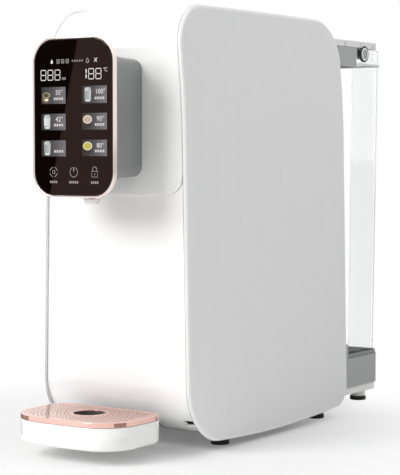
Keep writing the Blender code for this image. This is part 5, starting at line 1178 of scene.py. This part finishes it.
def draw_tile(film, left, low, high, number, cup):
    """Draw one drink tile: a fading field, a cup, the temperature and a short bar."""
    wide = 26.6
    half, right = left + wide * 0.5, left + wide
    film.put([(left, low), (half, low), (half, high), (left, high)], "#1a1614", "#4b4a4d")
    film.put([(half, low), (right, low), (right, high), (half, high)], "#4b4a4d", "#777479")
    cup(film, left + 6.2, (low + high) / 2)
    if number:
        film.words(number, left + wide * 0.74, high - 4.6, 4.3, "#f4f1ef")
    for step in range(4):
        x = left + wide * 0.52 + step * 2.7
        film.put([(x, low + 3.2), (x + 1.9, low + 3.2), (x + 1.9, low + 5.4), (x, low + 5.4)], "#d9d6d4", lift=0.04)


def tumbler(film, x, z):
    """Draw a tumbler of clear water."""
    film.put([(x - 3.4, z - 4.0), (x - 2.6, z - 6.0), (x + 2.6, z - 6.0), (x + 3.4, z - 4.0), (x + 3.7, z + 4.0),
              (x + 2.4, z + 6.2), (x - 2.4, z + 6.2), (x - 3.7, z + 4.0)], "#8b9392", "#c9d2d0", 0.02)
    film.oval(x, z + 4.4, 6.2, 3.0, "#dfe6e4", "#a9b2b0", 0.03)
    film.oval(x, z - 4.9, 5.0, 1.6, "#f2f5f4", "#dfe3e2", 0.03)


def milk_glass(film, x, z):
    """Draw a glass of milk."""
    tumbler(film, x, z)
    film.put([(x - 3.2, z - 3.4), (x + 3.0, z - 3.4), (x + 3.4, z + 3.2), (x - 3.4, z + 3.2)], "#eef3f4", "#cdd4d4",
             0.03)


def wide_cup(film, x, z, drink, rim, body_code):
    """Draw a wide cup seen from above, with its drink."""
    film.oval(x - 0.6, z - 2.4, 9.6, 7.0, body_code, "#2a2625", 0.02)
    film.oval(x - 0.3, z + 1.6, 9.8, 7.2, rim, rim, 0.03)
    film.oval(x - 0.3, z + 1.5, 8.0, 5.6, drink, drink, 0.035)


def honey_cup(film, x, z):
    """Draw a cup of honey water with its spoon."""
    film.oval(x - 0.8, z - 3.2, 9.0, 6.6, "#7a6f4a", "#4d4532", 0.02)
    film.oval(x - 0.8, z + 0.2, 8.4, 5.0, "#9b8f6c", "#c2b78f", 0.025)
    film.oval(x - 0.8, z + 0.2, 6.4, 3.6, "#3c3524", "#5d5338", 0.03)
    film.oval(x - 0.6, z - 3.8, 4.4, 2.2, "#f4edd2", "#fffbe6", 0.03)


def coffee_cup(film, x, z):
    """Draw a cup of coffee."""
    wide_cup(film, x, z, "#cdb69a", "#efe4d6", "#191514")


def tea_cup(film, x, z):
    """Draw a cup of green tea."""
    wide_cup(film, x, z, "#cdbb45", "#eef0cf", "#26221f")


def draw_keys(film, lit):
    """Draw the three keys, a broken ring, a power sign and a lock, and the bars under them."""
    soft, fine = "#cbc6c2", 0.34
    ring_x, power_x, lock_x, key_z = -21.3, 0.7, 23.3, -46.7
    for start in (12, 102, 192, 282):
        film.stroke(circle(ring_x, key_z, 4.1, start, start + 66, 10), fine, soft)
    film.stroke(circle(ring_x, key_z, 1.5, steps=16)[:-1], fine, soft, True)
    film.stroke(circle(power_x, key_z, 4.1, 108, 432, 28), fine, soft)
    film.stroke([(power_x, -46.2), (power_x, -42.4)], 0.6, soft)
    film.stroke([(20.2, -50.6), (26.4, -50.6), (26.4, -45.8), (20.2, -45.8)], fine, soft, True)
    film.stroke([(21.1, -45.6)] + circle(lock_x, -44.2, 2.2, 180, 0, 12) + [(25.5, -45.6)], fine, soft)
    film.stroke([(lock_x, -47.4), (lock_x, -49.2)], fine, soft)
    for middle, count in ((ring_x, 4), (power_x, 5), (lock_x, 4)):
        for step in range(count):
            x = middle + (step - count / 2) * 2.1
            film.put([(x + 0.25, -56.3), (x + 1.7, -56.3), (x + 1.7, -54.3), (x + 0.25, -54.3)], "#a9a4a0")


def make_figures():
    """Make the lit figures of the display as one printed film."""
    film = Film()
    lit = "#fbf8f5"
    draw_status(film, lit)
    draw_counters(film, lit)
    draw_tile(film, -34.5, 11.7, 26.1, "55°", honey_cup)
    draw_tile(film, -34.5, -10.8, 3.2, "42°", milk_glass)
    draw_tile(film, -34.5, -33.3, -19.6, "", tumbler)
    draw_tile(film, 9.9, 11.7, 26.4, "100°", tumbler)
    draw_tile(film, 9.9, -10.6, 3.5, "90°", coffee_cup)
    draw_tile(film, 9.9, -32.9, -19.1, "80°", tea_cup)
    draw_keys(film, lit)
    shape = film.shape
    shape.normal_update()
    for face in shape.faces:
        if face.normal.y > 0:
            face.normal_flip()
    mesh = bpy.data.meshes.new("display_figures")
    shape.to_mesh(mesh)
    shape.free()
    return fit(place("display_figures", mesh), lit_display_film, "casing")


# Drip tray

def tray_ring(grow, height, steps=20):
    """Return the tray's plan at a height, grown or shrunk by an amount."""
    sizes = tray()
    outline = rounded(sizes.half + grow, deep(-sizes.reach + sizes.bow) - grow, deep(-GAP * 2) + grow,
                      sizes.front_corner + grow, sizes.rear_corner + grow, steps, sizes.bow)
    return [(x, y, height) for x, y in outline]


def make_tray_body():
    """Make the white tray with its rounded foot and the two runners that slide on the prongs."""
    sizes = tray()
    shelf, foot, wall, bend = sizes.top - sizes.band, sizes.foot, TRAY_WALL, 0.0036
    section = [(-0.0045, foot)]
    section += [(-bend * (1 - math.sin(step * math.pi / 16)), foot + bend * (1 - math.cos(step * math.pi / 16)))
                for step in range(1, 9)]
    section += [(0.0, shelf - GAP - 0.0005), (-0.0004, shelf - GAP), (-wall, shelf - GAP), (-wall, foot + wall * 2),
                (-wall - 0.0012, foot + wall)]
    shell = skin("tray_tub", [tray_ring(grow, height) for grow, height in section], angle=40)
    back = deep(-GAP * 2)
    runner_half, runner_long, runner_top, channel_long = 0.0071, 0.0318, 0.0256, 0.0303
    for side in (-1, 1):
        x = side * PRONG
        runner = block("runner", (x - runner_half, back - runner_long, foot + wall / 2),
                       (x + runner_half, back - wall / 2, runner_top))
        shell = carve(shell, runner, operation="UNION", angle=40)
        channel = block("channel", (x - CHANNEL_HALF, back - channel_long, CHANNEL_LOW),
                        (x + CHANNEL_HALF, back + CUT_OVER, CHANNEL_HIGH))
        shell = carve(shell, channel, angle=40)
    return fit(shell, gloss_moulded_abs, "drip_tray", "tray_body")


def inside_plan(x, y, margin):
    """Say whether a point lies inside the tray's plan by more than a margin."""
    sizes = tray()
    side = sizes.half - margin
    low = deep(-sizes.reach) + margin + sizes.bow * (x / sizes.half) ** 2
    high = deep(-GAP * 2) - margin
    if abs(x) > side or not low < y < high:
        return False
    front, rear = sizes.front_corner - margin, sizes.rear_corner - margin
    if y < low + front and abs(x) > side - front:
        return math.hypot(abs(x) - side + front, low + front - y) < front
    if y > high - rear and abs(x) > side - rear:
        return math.hypot(abs(x) - side + rear, y - high + rear) < rear
    return True


def tray_slots():
    """Return the outlines of the slots: zigzag rings round the drain, each slot slanting against the next ring."""
    sizes = tray()
    centre_y = deep(-sizes.drain_back)
    pitch, ring_step, slot_long, margin = 0.0042, 0.0033, 0.0030, 0.0075
    outlines = []
    ring = 0
    radius, farthest = sizes.drain + 0.0048, 0.085
    while radius < farthest:
        count = max(20, int(round(2 * math.pi * radius / pitch)))
        slant = math.radians(58 if ring % 2 else -58)
        for step in range(count):
            angle = 2 * math.pi * (step + 0.5 * (ring % 2)) / count
            x, y = radius * math.cos(angle), centre_y + radius * math.sin(angle)
            if inside_plan(x, y, margin):
                outlines.append(slot_outline(x, y, angle + slant, slot_long, sizes.slot))
        radius += ring_step
        ring += 1
    return outlines


def slot_outline(x, y, angle, long, wide):
    """Return one slot with pointed ends."""
    along = Vector((math.cos(angle), math.sin(angle)))
    across = Vector((-along.y, along.x))
    middle = Vector((x, y))
    spots = ((-0.5, 0.0), (-0.32, -0.5), (0.32, -0.5), (0.5, 0.0), (0.32, 0.5), (-0.32, 0.5))
    return [tuple(middle + along * long * first + across * wide * second) for first, second in spots]


def make_tray_cover():
    """Make the rose-gold cover: a perforated plate let into a rounded frame with a locating lip."""
    sizes = tray()
    shelf, top = sizes.top - sizes.band, sizes.top
    frame_wide, sunk, under, steps = 0.0042, 0.0007, top - PLATE_LOW, 72
    ledge, lip_out, lip_low = -frame_wide - 0.0006, -TRAY_WALL - GAP, shelf - 0.003
    lip_in = lip_out - 0.0016
    section = [(0.0, shelf), (0.0, top), (-frame_wide, top), (-frame_wide, top - sunk), (ledge, top - sunk),
               (ledge, under), (lip_in, under), (lip_in, lip_low), (lip_out, lip_low), (lip_out, shelf)]
    # Moved out by 1 and back, so that the section is rounded as a closed one.
    section = round_off([(grow + 1.0, height) for grow, height in section], 0.0004, 3)
    rim = skin("cover_frame", [tray_ring(grow - 1.0, height) for grow, height in section], "joined", 50)
    centre_y = deep(-sizes.drain_back)
    hole = [(sizes.drain * across, centre_y + sizes.drain * up) for across, up in circle_steps(steps)]
    plan = [(x, y) for x, y, z in tray_ring(-frame_wide - 0.0003, 0.0)]
    plate = slab("cover_plate", plan, under, top - sunk * 0.4, holes=[hole] + tray_slots())
    foot = sizes.drain + 0.0016
    collar = turned("drain_collar", [(sizes.drain, under), (sizes.drain, top), (sizes.drain + 0.0012, top),
                                     (foot, top - sunk), (foot, under)],
                    (0.0, centre_y, 0.0), steps=steps, edge=0.0003)
    piece = join("perforated_cover", (rim, plate, collar))
    return fit(level(piece), rose_vacuum_plate, "tray_cover", "tray_cover")


def make_drain_cup():
    """Make the dark cup under the drain hole."""
    sizes = tray()
    floor, wall = sizes.foot + TRAY_WALL + GAP, 0.0012
    top = sizes.top - 0.0014 - GAP * 2
    outer = sizes.drain + wall
    profile = [(0.0, floor + wall), (sizes.drain, floor + wall), (sizes.drain, top), (outer, top), (outer, floor),
               (0.0, floor)]
    cup = turned("drain_well", profile, (0.0, deep(-sizes.drain_back), 0.0), edge=0.0005)
    return fit(cup, dark_spark_pp, "drip_tray", "drain_cup")


# Seat and tank

def seat_outline(inset, front, steps=14):
    """Return the seat's plan from a front place to its round rear end."""
    sizes = tank()
    return rounded(sizes.seat_half - inset, front, deep(sizes.seat_rear) - inset, GAP * 2, sizes.seat_corner - inset,
                   steps)


def make_seat():
    """Make the white plinth, the pale grey seat with its pocket, and the grey lip round the tank."""
    sizes = tank()
    front = deep(body().depth) + GAP
    plinth_low, stub_x, stub_radius, stub_high = 0.0131, 0.040, 0.0075, 0.0104
    plinth = slab("plinth_skin", seat_outline(0.0015, front), plinth_low, sizes.seat_low - GAP)
    for side in (1, -1):
        stub = rod("stub", (side * stub_x, deep(sizes.seat_rear - 0.012), 0.0094), stub_radius, stub_high)
        plinth = carve(plinth, stub, operation="UNION")
    fit(soften(plinth, 0.0008), gloss_moulded_abs, "casing", "tank_plinth")

    seat = slab("seat_skin", seat_outline(0.0, front), sizes.seat_low, sizes.seat_top)
    bridge_back, bridge_top = deep(body().depth + 0.0395), 0.066
    bridge = block("bridge", (-sizes.seat_half, front, sizes.seat_low + 0.0026),
                   (sizes.seat_half, bridge_back, bridge_top))
    seat = carve(seat, bridge, operation="UNION")
    pocket_low, pocket_top = 0.0375, 0.068
    pocket = slab("pocket", rounded(sizes.half_low + GAP * 2, bridge_back + GAP, deep(sizes.rear_low) + GAP * 2,
                                    sizes.corner, sizes.corner), pocket_low, pocket_top)
    # The shaft takes the coupling under the tank's valve, and the duct leads its water into the body.
    valve_y, shaft_radius, duct_radius = deep(VALVE_BACK), 0.0103, 0.0033
    shaft = rod("shaft", (0.0, valve_y, 0.032), shaft_radius, 0.013)
    duct = rod("duct", (0.0, (front + valve_y) / 2, 0.030), duct_radius, valve_y - front + GAP * 4, "Y")
    seat = carve(seat, pocket, shaft, duct)
    fit(soften(seat, 0.0006), pale_spark_abs, "casing", "tank_seat")

    lip_top = 0.0548
    lip = slab("lip_skin", seat_outline(0.0009, bridge_back + GAP), sizes.seat_top + GAP, lip_top)
    hole = slab("lip_hole", rounded(sizes.half_low + GAP * 3, bridge_back - CUT_OVER, deep(sizes.rear_low) + GAP * 3,
                                    sizes.corner, sizes.corner), sizes.seat_top, 0.0568)
    fit(soften(carve(lip, hole), 0.0005), grey_spark_abs, "casing", "seat_lip")


def tank_ring(height, inset=0.0, steps=14):
    """Return the tank's plan at a height: it widens a little towards the top."""
    sizes = tank()
    share = (height - sizes.low) / (sizes.top - sizes.low)
    half = sizes.half_low + (sizes.half_high - sizes.half_low) * share - inset
    rear = deep(sizes.rear_low + (sizes.rear_high - sizes.rear_low) * share) - inset
    outline = rounded(half, deep(sizes.front) + inset, rear, sizes.corner - inset, sizes.corner - inset, steps)
    return [(x, y, height) for x, y in outline]


def make_tank_wall():
    """Make the clear tank, open at the top, with its valve hole, pin holes and the scoops for the flap."""
    sizes = tank()
    low, top, wall = sizes.low, sizes.top, sizes.wall
    bend, edge = 0.003, 0.0006
    quarter = [step * math.pi / 12 for step in range(7)]
    outer = [(bend * (1 - math.sin(angle)), low + bend * (1 - math.cos(angle))) for angle in quarter]
    inner = [(wall + bend * (1 - math.sin(angle)), low + wall + bend * (1 - math.cos(angle))) for angle in quarter]
    section = outer + [(0.0, top - edge), (edge, top), (wall - edge, top), (wall, top - edge)] + inner[::-1]
    shell = skin("tank_glass", [tank_ring(height, inset) for inset, height in section], angle=50)
    middle = (0.0, deep(sizes.pivot_back), sizes.pivot_high)
    wide, reach = sizes.cover_half * 2, sizes.flap_arc * 2
    boss, scoop_deep, valve_hole = 0.0058, 0.0086, 0.0083
    scoop = rod("scoop", middle, sizes.flap_arc + GAP, sizes.cover_half * 3, "X", 96)
    rear = block("scoop_rear", (-wide, middle[1], sizes.pivot_high - reach),
                 (wide, middle[1] + reach, sizes.pivot_high + reach))
    under = block("scoop_under", (-wide, middle[1] - reach, sizes.pivot_high - reach),
                  (wide, middle[1] + reach, sizes.pivot_high - scoop_deep))
    scoop = carve(scoop, rod("boss", middle, boss, sizes.cover_half * 4, "X"), rear, under)
    shell = carve(shell, rod("valve_hole", (0.0, deep(VALVE_BACK), low), valve_hole, wall * 4),
                  rod("pin_holes", middle, PIN_BORE, sizes.half_high * 3, "X", 32), scoop, angle=50)
    return fit(level(shell), clear_moulded_resin, "tank", "tank_wall")


def make_tank_band():
    """Make the thin band round the tank under its grip."""
    low, high = tank().band_low, tank().band_high
    out = 1.0 - GAP - tank().band_out
    section = round_off([(1.0 - GAP, low), (out, low), (out, high), (1.0 - GAP, high)], 0.0005, 4)
    rings = [tank_ring(height, reach - 1.0) for reach, height in section]
    return fit(skin("tank_hoop", rings, "joined", 60), satin_streaked_abs, "tank", "tank_band")


def make_grip():
    """Make the grey grip that wraps the tank's front."""
    sizes = tank()
    low, high = 0.3512, sizes.cover_top - sizes.cover_thick - GAP
    front, rear, corner = deep(0.2900), deep(0.3310), 0.006
    grip = slab("grip_skin", rounded(sizes.cover_half - GAP, front, rear, corner, GAP * 2), low, high)
    around = slab("around", [(x, y) for x, y, z in tank_ring(sizes.top, -GAP)], low - CUT_OVER, sizes.cover_top)
    # The fingers' space stays open below and leaves the grip's walls and its roof.
    side_wall, roof = 0.0048, 0.0045
    hand = block("hand", (-sizes.cover_half + side_wall, deep(0.2924), low - CUT_OVER),
                 (sizes.cover_half - side_wall, deep(sizes.front - 0.0024), high - roof))
    groove = slab("groove", [(x, y) for x, y, z in tank_ring(sizes.band_high, -sizes.band_out - GAP * 2)],
                  sizes.band_low - GAP, sizes.band_high + GAP)
    return fit(soften(carve(grip, around, hand, groove), 0.0005), pale_spark_abs, "tank", "tank_grip")


def cover_outline():
    """Return the plan of the whole white top, fixed half and flap together."""
    sizes = tank()
    return rounded(sizes.cover_half, deep(sizes.cover_front), deep(sizes.cover_rear), GAP * 2, sizes.cover_corner)


def knuckle(radius):
    """Return the tool that holds the flap's half: all behind the pivot, and a round about the pivot in front."""
    sizes = tank()
    middle = (0.0, deep(sizes.pivot_back), sizes.pivot_high)
    around = rod("knuckle", middle, radius, sizes.cover_half * 3, "X", 128)
    behind = block("knuckle_rear", (-sizes.cover_half * 2, deep(sizes.pivot_back), sizes.pivot_high - radius * 2),
                   (sizes.cover_half * 2, deep(sizes.cover_rear) + CUT_OVER, sizes.pivot_high + radius * 2))
    return carve(around, behind, operation="UNION")


def nicks(*places):
    """Return the small upright cuts at both sides of the white top."""
    sizes = tank()
    low, high = sizes.cover_top - sizes.cover_thick - CUT_OVER, sizes.cover_top + CUT_OVER
    cut, long = 0.0015, 0.0020
    return [block("nick", (side * sizes.cover_half - cut, deep(back), low),
                  (side * sizes.cover_half + cut, deep(back) + long, high)) for back in places for side in (-1, 1)]


def make_cover_and_flap():
    """Make the white top: its fixed half, and the flap with the ears that it turns on."""
    sizes = tank()
    low = sizes.cover_top - sizes.cover_thick
    fixed = slab("cover_skin", cover_outline(), low, sizes.cover_top)
    fixed = carve(fixed, knuckle(sizes.flap_arc + GAP), *nicks(0.3050, FLAP_NICK))
    fit(soften(fixed, 0.0005), satin_streaked_abs, "tank", "tank_top_cover")

    flap = slab("flap_skin", cover_outline(), low, sizes.cover_top)
    flap = carve(flap, knuckle(sizes.flap_arc), operation="INTERSECT")
    flap = carve(flap, *nicks(FLAP_NICK, 0.3650))
    pivot_y = deep(sizes.pivot_back)
    ear_thick, ear_radius, play = 0.0030, 0.0050, 0.0008
    outer = sizes.half_high - sizes.wall - play
    for side in (-1, 1):
        low_x, high_x = sorted((side * outer, side * (outer - ear_thick)))
        ear = block("ear", (low_x, pivot_y - ear_radius, sizes.pivot_high),
                    (high_x, pivot_y + ear_radius, low + 0.0031))
        eye = rod("eye", ((low_x + high_x) / 2, pivot_y, sizes.pivot_high), ear_radius, ear_thick, "X")
        flap = carve(flap, ear, eye, operation="UNION")
    tools = [rod("bore", (0.0, pivot_y, sizes.pivot_high), PIN_BORE, sizes.half_high * 3, "X", 32)]
    tools += [rod("knob_space", (side * (sizes.half_high + GAP + 0.0020), pivot_y, sizes.pivot_high),
                  sizes.knob + GAP, 0.0040, "X") for side in (-1, 1)]
    flap = carve(flap, *tools)
    fit(soften(flap, 0.0005, 2), satin_streaked_abs, "filling_flap", "tank_flap")


def make_pivots():
    """Make the two pivots with their dished round heads, each with a pale ring and a grey cap let in."""
    sizes = tank()
    rest = sizes.half_high + GAP * 2
    inner = sizes.half_high - sizes.wall - 0.0038
    outer = rest + sizes.knob_thick
    pin, dish, well = 0.0025, outer - 0.0004, outer - 0.0010
    middle = (0.0, deep(sizes.pivot_back), sizes.pivot_high)
    head_profile = [(0.0, well), (0.0045, well), (0.0045, dish), (0.0066, dish), (0.0066, outer), (sizes.knob, outer),
                    (sizes.knob, rest), (pin, rest), (pin, inner), (0.0, inner)]
    ring = [(0.0046, dish), (0.0065, dish), (0.0065, outer), (0.0046, outer)]
    cap = [(0.0, dish), (0.0036, dish), (0.0044, well), (0.0, well)]

    def turn(name, profile, side, edge):
        """Turn one part of a pivot, mirrored for its side."""
        return turned(name, [(radius, side * reach) for radius, reach in profile], middle, "X", edge=edge)

    for side, word in ((1, "right"), (-1, "left")):
        fit(turn("pivot_head_" + word, head_profile, side, 0.0004), dark_spark_pp, "filling_flap",
            "flap_pivot_" + word)
        fit(turn("knob_ring_" + word, ring, side, 0.0002), gloss_moulded_abs, "filling_flap")
        fit(turn("knob_cap_" + word, cap, side, 0.0002), pale_spark_abs, "filling_flap")


# Solids that keep their shape and get a finish

def dress_solids():
    """Give the solids that stay shown their finishes."""
    groups = {
        gloss_moulded_abs: ("rear_panel",),
        satin_streaked_abs: ("side_frame_left", "side_frame_right", "middle_wall", "valve_body"),
        grey_spark_abs: ("base_pan",),
        dark_spark_pp: ("power_inlet", "seat_coupling", "valve_poppet", "pump_head", "filter_head", "solenoid_valve"),
        clear_moulded_resin: ("clean_tank",),
        drawn_steel: ("tray_bracket", "pump_motor", "heater", "valve_spring"),
        masked_glass_epoxy: ("display_board", "power_board"),
        extruded_silicone: ("hose_tank_pump", "hose_pump_filter", "hose_filter_tank", "hose_tank_heater",
                            "hose_heater_nozzle"),
        moulded_filter_shell: ("filter_cartridge",),
    }
    for maker, names in groups.items():
        for name in names:
            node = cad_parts[name]
            node.data.materials.clear()
            node.data.materials.append(material(maker))


# Stage

# The camera's place, how far it stands to the right of the front, how far it looks down, and its lens in
# millimetres on a frame 36 mm high
CAMERA = Vector((0.8677, -1.2951, 0.2689))
AZIMUTH, PITCH = math.radians(34.2), math.radians(3.19)
LENS = 122.84


def make_camera():
    """Put the camera at the photograph's viewing angle."""
    lens = bpy.data.cameras.new("view")
    lens.sensor_fit = "VERTICAL"
    lens.sensor_height = 36.0
    lens.lens = LENS
    lens.clip_start = 0.05
    holder = place("view", lens)
    holder.location = CAMERA
    holder.rotation_euler = (math.pi / 2 - PITCH, 0.0, AZIMUTH)
    bpy.context.scene.camera = holder


def make_lamp(name, stand, target, size, power):
    """Add one large soft lamp of a power in watts."""
    lamp = bpy.data.lights.new(name, "AREA")
    lamp.shape = "RECTANGLE"
    lamp.size, lamp.size_y = size
    lamp.energy = power
    holder = place(name, lamp)
    holder.location = stand
    holder.rotation_euler = (Vector(target) - Vector(stand)).to_track_quat("-Z", "Y").to_euler()


def make_world():
    """Make the studio's white: full for the camera, mirrors and clear things, dimmer as light on the object."""
    world = bpy.data.worlds.new("studio")
    bpy.context.scene.world = world
    world.use_nodes = True
    tree = world.node_tree
    tree.nodes.clear()
    path = add_node(tree, "ShaderNodeLightPath")
    seen = add_node(tree, "ShaderNodeMath",
                    links={0: path.outputs["Is Camera Ray"], 1: path.outputs["Is Glossy Ray"]}, operation="MAXIMUM")
    through = add_node(tree, "ShaderNodeMath", links={0: seen.outputs[0], 1: path.outputs["Is Transmission Ray"]},
                       operation="MAXIMUM")
    strength = add_node(tree, "ShaderNodeMapRange", {"To Min": 0.55, "To Max": 1.0}, {"Value": through.outputs[0]})
    glow = add_node(tree, "ShaderNodeBackground", {"Color": (1.0, 1.0, 1.0, 1.0)},
                    {"Strength": strength.outputs["Result"]})
    add_node(tree, "ShaderNodeOutputWorld", links={"Surface": glow.outputs["Background"]})


def make_floor():
    """Make a pale paper sweep: white to the camera, but keeping the soft shadow under the object."""
    made, tree, shader = surface("matt_paper_sweep", Roughness=0.7, IOR=1.45)
    # Paper fibre is far below a millimetre, drawn as 4 mm clouds of tone.
    cloud = mottle(tree, 4.0)
    tint(tree, shader, cloud, linear("#f4f4f4"), linear("#f7f7f7"))
    path = add_node(tree, "ShaderNodeLightPath")
    white = add_node(tree, "ShaderNodeEmission", {"Color": (1.0, 1.0, 1.0, 1.0), "Strength": 1.0})
    # The paper keeps its shading near the tray and under the body's front, and turns white 0.42 m away from there.
    coords = add_node(tree, "ShaderNodeTexCoord")
    away = add_node(tree, "ShaderNodeVectorMath", {1: (-0.04, -0.12, 0.0)}, {0: coords.outputs["Object"]},
                    operation="DISTANCE")
    fade = add_node(tree, "ShaderNodeMapRange", {"From Min": 0.15, "From Max": 0.42, "To Min": 0.16, "To Max": 1.0},
                    {"Value": away.outputs["Value"]}, interpolation_type="SMOOTHSTEP")
    seen = add_node(tree, "ShaderNodeMath",
                    links={0: path.outputs["Is Camera Ray"], 1: path.outputs["Is Transmission Ray"]},
                    operation="MAXIMUM")
    share = add_node(tree, "ShaderNodeMath", links={0: seen.outputs[0], 1: fade.outputs["Result"]},
                     operation="MULTIPLY")
    mixed = add_node(tree, "ShaderNodeMixShader",
                     links={0: share.outputs[0], 1: shader.outputs["BSDF"], 2: white.outputs["Emission"]})
    tree.links.new(mixed.outputs[0], tree.nodes["Material Output"].inputs["Surface"])
    shape = bmesh.new()
    bmesh.ops.create_grid(shape, x_segments=8, y_segments=8, size=12.0)
    floor = settle("floor", shape)
    floor.data.materials.append(made)


def mirrored(x, z, reach):
    """Return where the sight line to a place on the display ends after its reflection, this far in front of it.

    The place is in millimetres from the display's middle.
    """
    spot = Vector((x / 1000, deep(-head().out), head().centre + z / 1000))
    sight = spot - CAMERA
    sight.y = -sight.y
    return spot + sight * (reach / abs(sight.y))


def upright(start, end, low=0.004, high=0.034):
    """Return the corners of an upright card between two places on the floor."""
    return [(*start, low), (*end, low), (*end, high), (*start, high)]


def make_cards():
    """Make the cards that only mirrors see: the display's slanted tone, and the brown ends of the tray's band."""
    away = 0.30
    slant = {"dark_card": ("#0a0504", [(-70, -100), (-33.4, -100), (13.4, 100), (-70, 100)]),
             "brown_card": ("#c39a8f", [(-33.4, -100), (70, -100), (70, 100), (13.4, 100)])}
    plans = {name: (code, [mirrored(x, z, away) for x, z in outline]) for name, (code, outline) in slant.items()}
    plans["left_card"] = ("#4e3d39", upright((-0.113, -0.129), (-0.129, -0.285)))
    plans["right_card"] = ("#80605b", upright((0.150, -0.269), (0.1645, -0.191)))
    for name, (code, outline) in plans.items():
        shape = bmesh.new()
        shape.faces.new([shape.verts.new(spot) for spot in outline])
        card = settle(name, shape)
        made = bpy.data.materials.new(name)
        made.use_nodes = True
        tree = made.node_tree
        tree.nodes.clear()
        glow = add_node(tree, "ShaderNodeEmission", {"Color": linear(code), "Strength": 1.0})
        add_node(tree, "ShaderNodeOutputMaterial", links={"Surface": glow.outputs["Emission"]})
        card.data.materials.append(made)
        for sight in ("camera", "diffuse", "shadow", "transmission"):
            setattr(card, "visible_" + sight, False)


def make_stage():
    """Make the floor, the light, the cards and the camera."""
    make_camera()
    make_world()
    make_floor()
    make_cards()
    middle = (0.0, 0.0, 0.2)
    make_lamp("key", (-0.95, -2.25, 1.55), middle, (1.5, 1.3), 55.0)
    make_lamp("side", (1.0, 0.3, 1.3), middle, (1.0, 1.0), 3.0)
    bpy.context.scene.view_settings.view_transform = "Standard"
    bpy.context.scene.cycles.caustics_reflective = False


# Operators

class DISPENSER_OT_panels(bpy.types.Operator):
    """Build the two side panels"""
    bl_idname = "dispenser.panels"
    bl_label = "Side Panels"

    def execute(self, context):
        for side in (1, -1):
            make_side_panel(side)
        return {"FINISHED"}


class DISPENSER_OT_covers(bpy.types.Operator):
    """Build the top cover with its apron, and the lower front"""
    bl_idname = "dispenser.covers"
    bl_label = "Covers"

    def execute(self, context):
        make_top_cover()
        make_front_panel()
        return {"FINISHED"}


class DISPENSER_OT_feet(bpy.types.Operator):
    """Build the rubber foot pads"""
    bl_idname = "dispenser.feet"
    bl_label = "Foot Pads"

    def execute(self, context):
        make_feet()
        return {"FINISHED"}


class DISPENSER_OT_head(bpy.types.Operator):
    """Build the head: housing, bezel and glass"""
    bl_idname = "dispenser.head"
    bl_label = "Head"

    def execute(self, context):
        make_housing()
        make_bezel()
        make_glass()
        return {"FINISHED"}


class DISPENSER_OT_figures(bpy.types.Operator):
    """Build the lit figures of the display"""
    bl_idname = "dispenser.figures"
    bl_label = "Display Figures"

    def execute(self, context):
        make_figures()
        return {"FINISHED"}


class DISPENSER_OT_spout(bpy.types.Operator):
    """Build the plated spout and its seal"""
    bl_idname = "dispenser.spout"
    bl_label = "Spout"

    def execute(self, context):
        make_spout()
        return {"FINISHED"}


class DISPENSER_OT_tray(bpy.types.Operator):
    """Build the drip tray with its perforated cover and drain cup"""
    bl_idname = "dispenser.tray"
    bl_label = "Drip Tray"

    def execute(self, context):
        make_tray_body()
        make_tray_cover()
        make_drain_cup()
        return {"FINISHED"}


class DISPENSER_OT_seat(bpy.types.Operator):
    """Build the tank's plinth, seat and lip"""
    bl_idname = "dispenser.seat"
    bl_label = "Tank Seat"

    def execute(self, context):
        make_seat()
        return {"FINISHED"}


class DISPENSER_OT_tank(bpy.types.Operator):
    """Build the water tank with its band, grip, cover, flap and pivots"""
    bl_idname = "dispenser.tank"
    bl_label = "Water Tank"

    def execute(self, context):
        make_tank_wall()
        make_tank_band()
        make_grip()
        make_cover_and_flap()
        make_pivots()
        return {"FINISHED"}


class DISPENSER_OT_solids(bpy.types.Operator):
    """Give the solids that keep their shape their finishes"""
    bl_idname = "dispenser.solids"
    bl_label = "Inner Solids"

    def execute(self, context):
        dress_solids()
        return {"FINISHED"}


class DISPENSER_OT_stage(bpy.types.Operator):
    """Build the floor, the light, the cards and the camera"""
    bl_idname = "dispenser.stage"
    bl_label = "Stage"

    def execute(self, context):
        make_stage()
        return {"FINISHED"}


OPERATORS = (DISPENSER_OT_panels, DISPENSER_OT_covers, DISPENSER_OT_feet, DISPENSER_OT_head, DISPENSER_OT_figures,
             DISPENSER_OT_spout, DISPENSER_OT_tray, DISPENSER_OT_seat, DISPENSER_OT_tank, DISPENSER_OT_solids,
             DISPENSER_OT_stage)
GROUPS = {"dispenser_body": BodySizes, "dispenser_head": HeadSizes, "dispenser_tray": TraySizes,
          "dispenser_tank": TankSizes, "dispenser_finishes": Finishes}


class DISPENSER_PT_pieces(bpy.types.Panel):
    """Lists the dispenser's pieces and their settings"""
    bl_idname = "DISPENSER_PT_pieces"
    bl_label = "Hot Water Dispenser"
    bl_space_type = "VIEW_3D"
    bl_region_type = "UI"
    bl_category = "Dispenser"

    def draw(self, context):
        for operator in OPERATORS:
            self.layout.operator(operator.bl_idname)
        for name, group in GROUPS.items():
            settings = self.layout.column(heading=group.__doc__)
            for setting in group.__annotations__:
                settings.prop(getattr(context.scene, name), setting)


def register():
    """Register the settings, the operators and the panel."""
    for kind in (*GROUPS.values(), *OPERATORS, DISPENSER_PT_pieces):
        bpy.utils.register_class(kind)
    for name, group in GROUPS.items():
        setattr(bpy.types.Scene, name, bpy.props.PointerProperty(type=group))


def unregister():
    """Take the settings, the operators and the panel away again."""
    for name in GROUPS:
        delattr(bpy.types.Scene, name)
    for kind in (DISPENSER_PT_pieces, *reversed(OPERATORS), *reversed(tuple(GROUPS.values()))):
        bpy.utils.unregister_class(kind)


def main():
    """Build every piece and write the two boxes."""
    register()
    for operator in OPERATORS:
        group, name = operator.bl_idname.split(".")
        getattr(getattr(bpy.ops, group), name)()


if __name__ == "__main__":
    main()
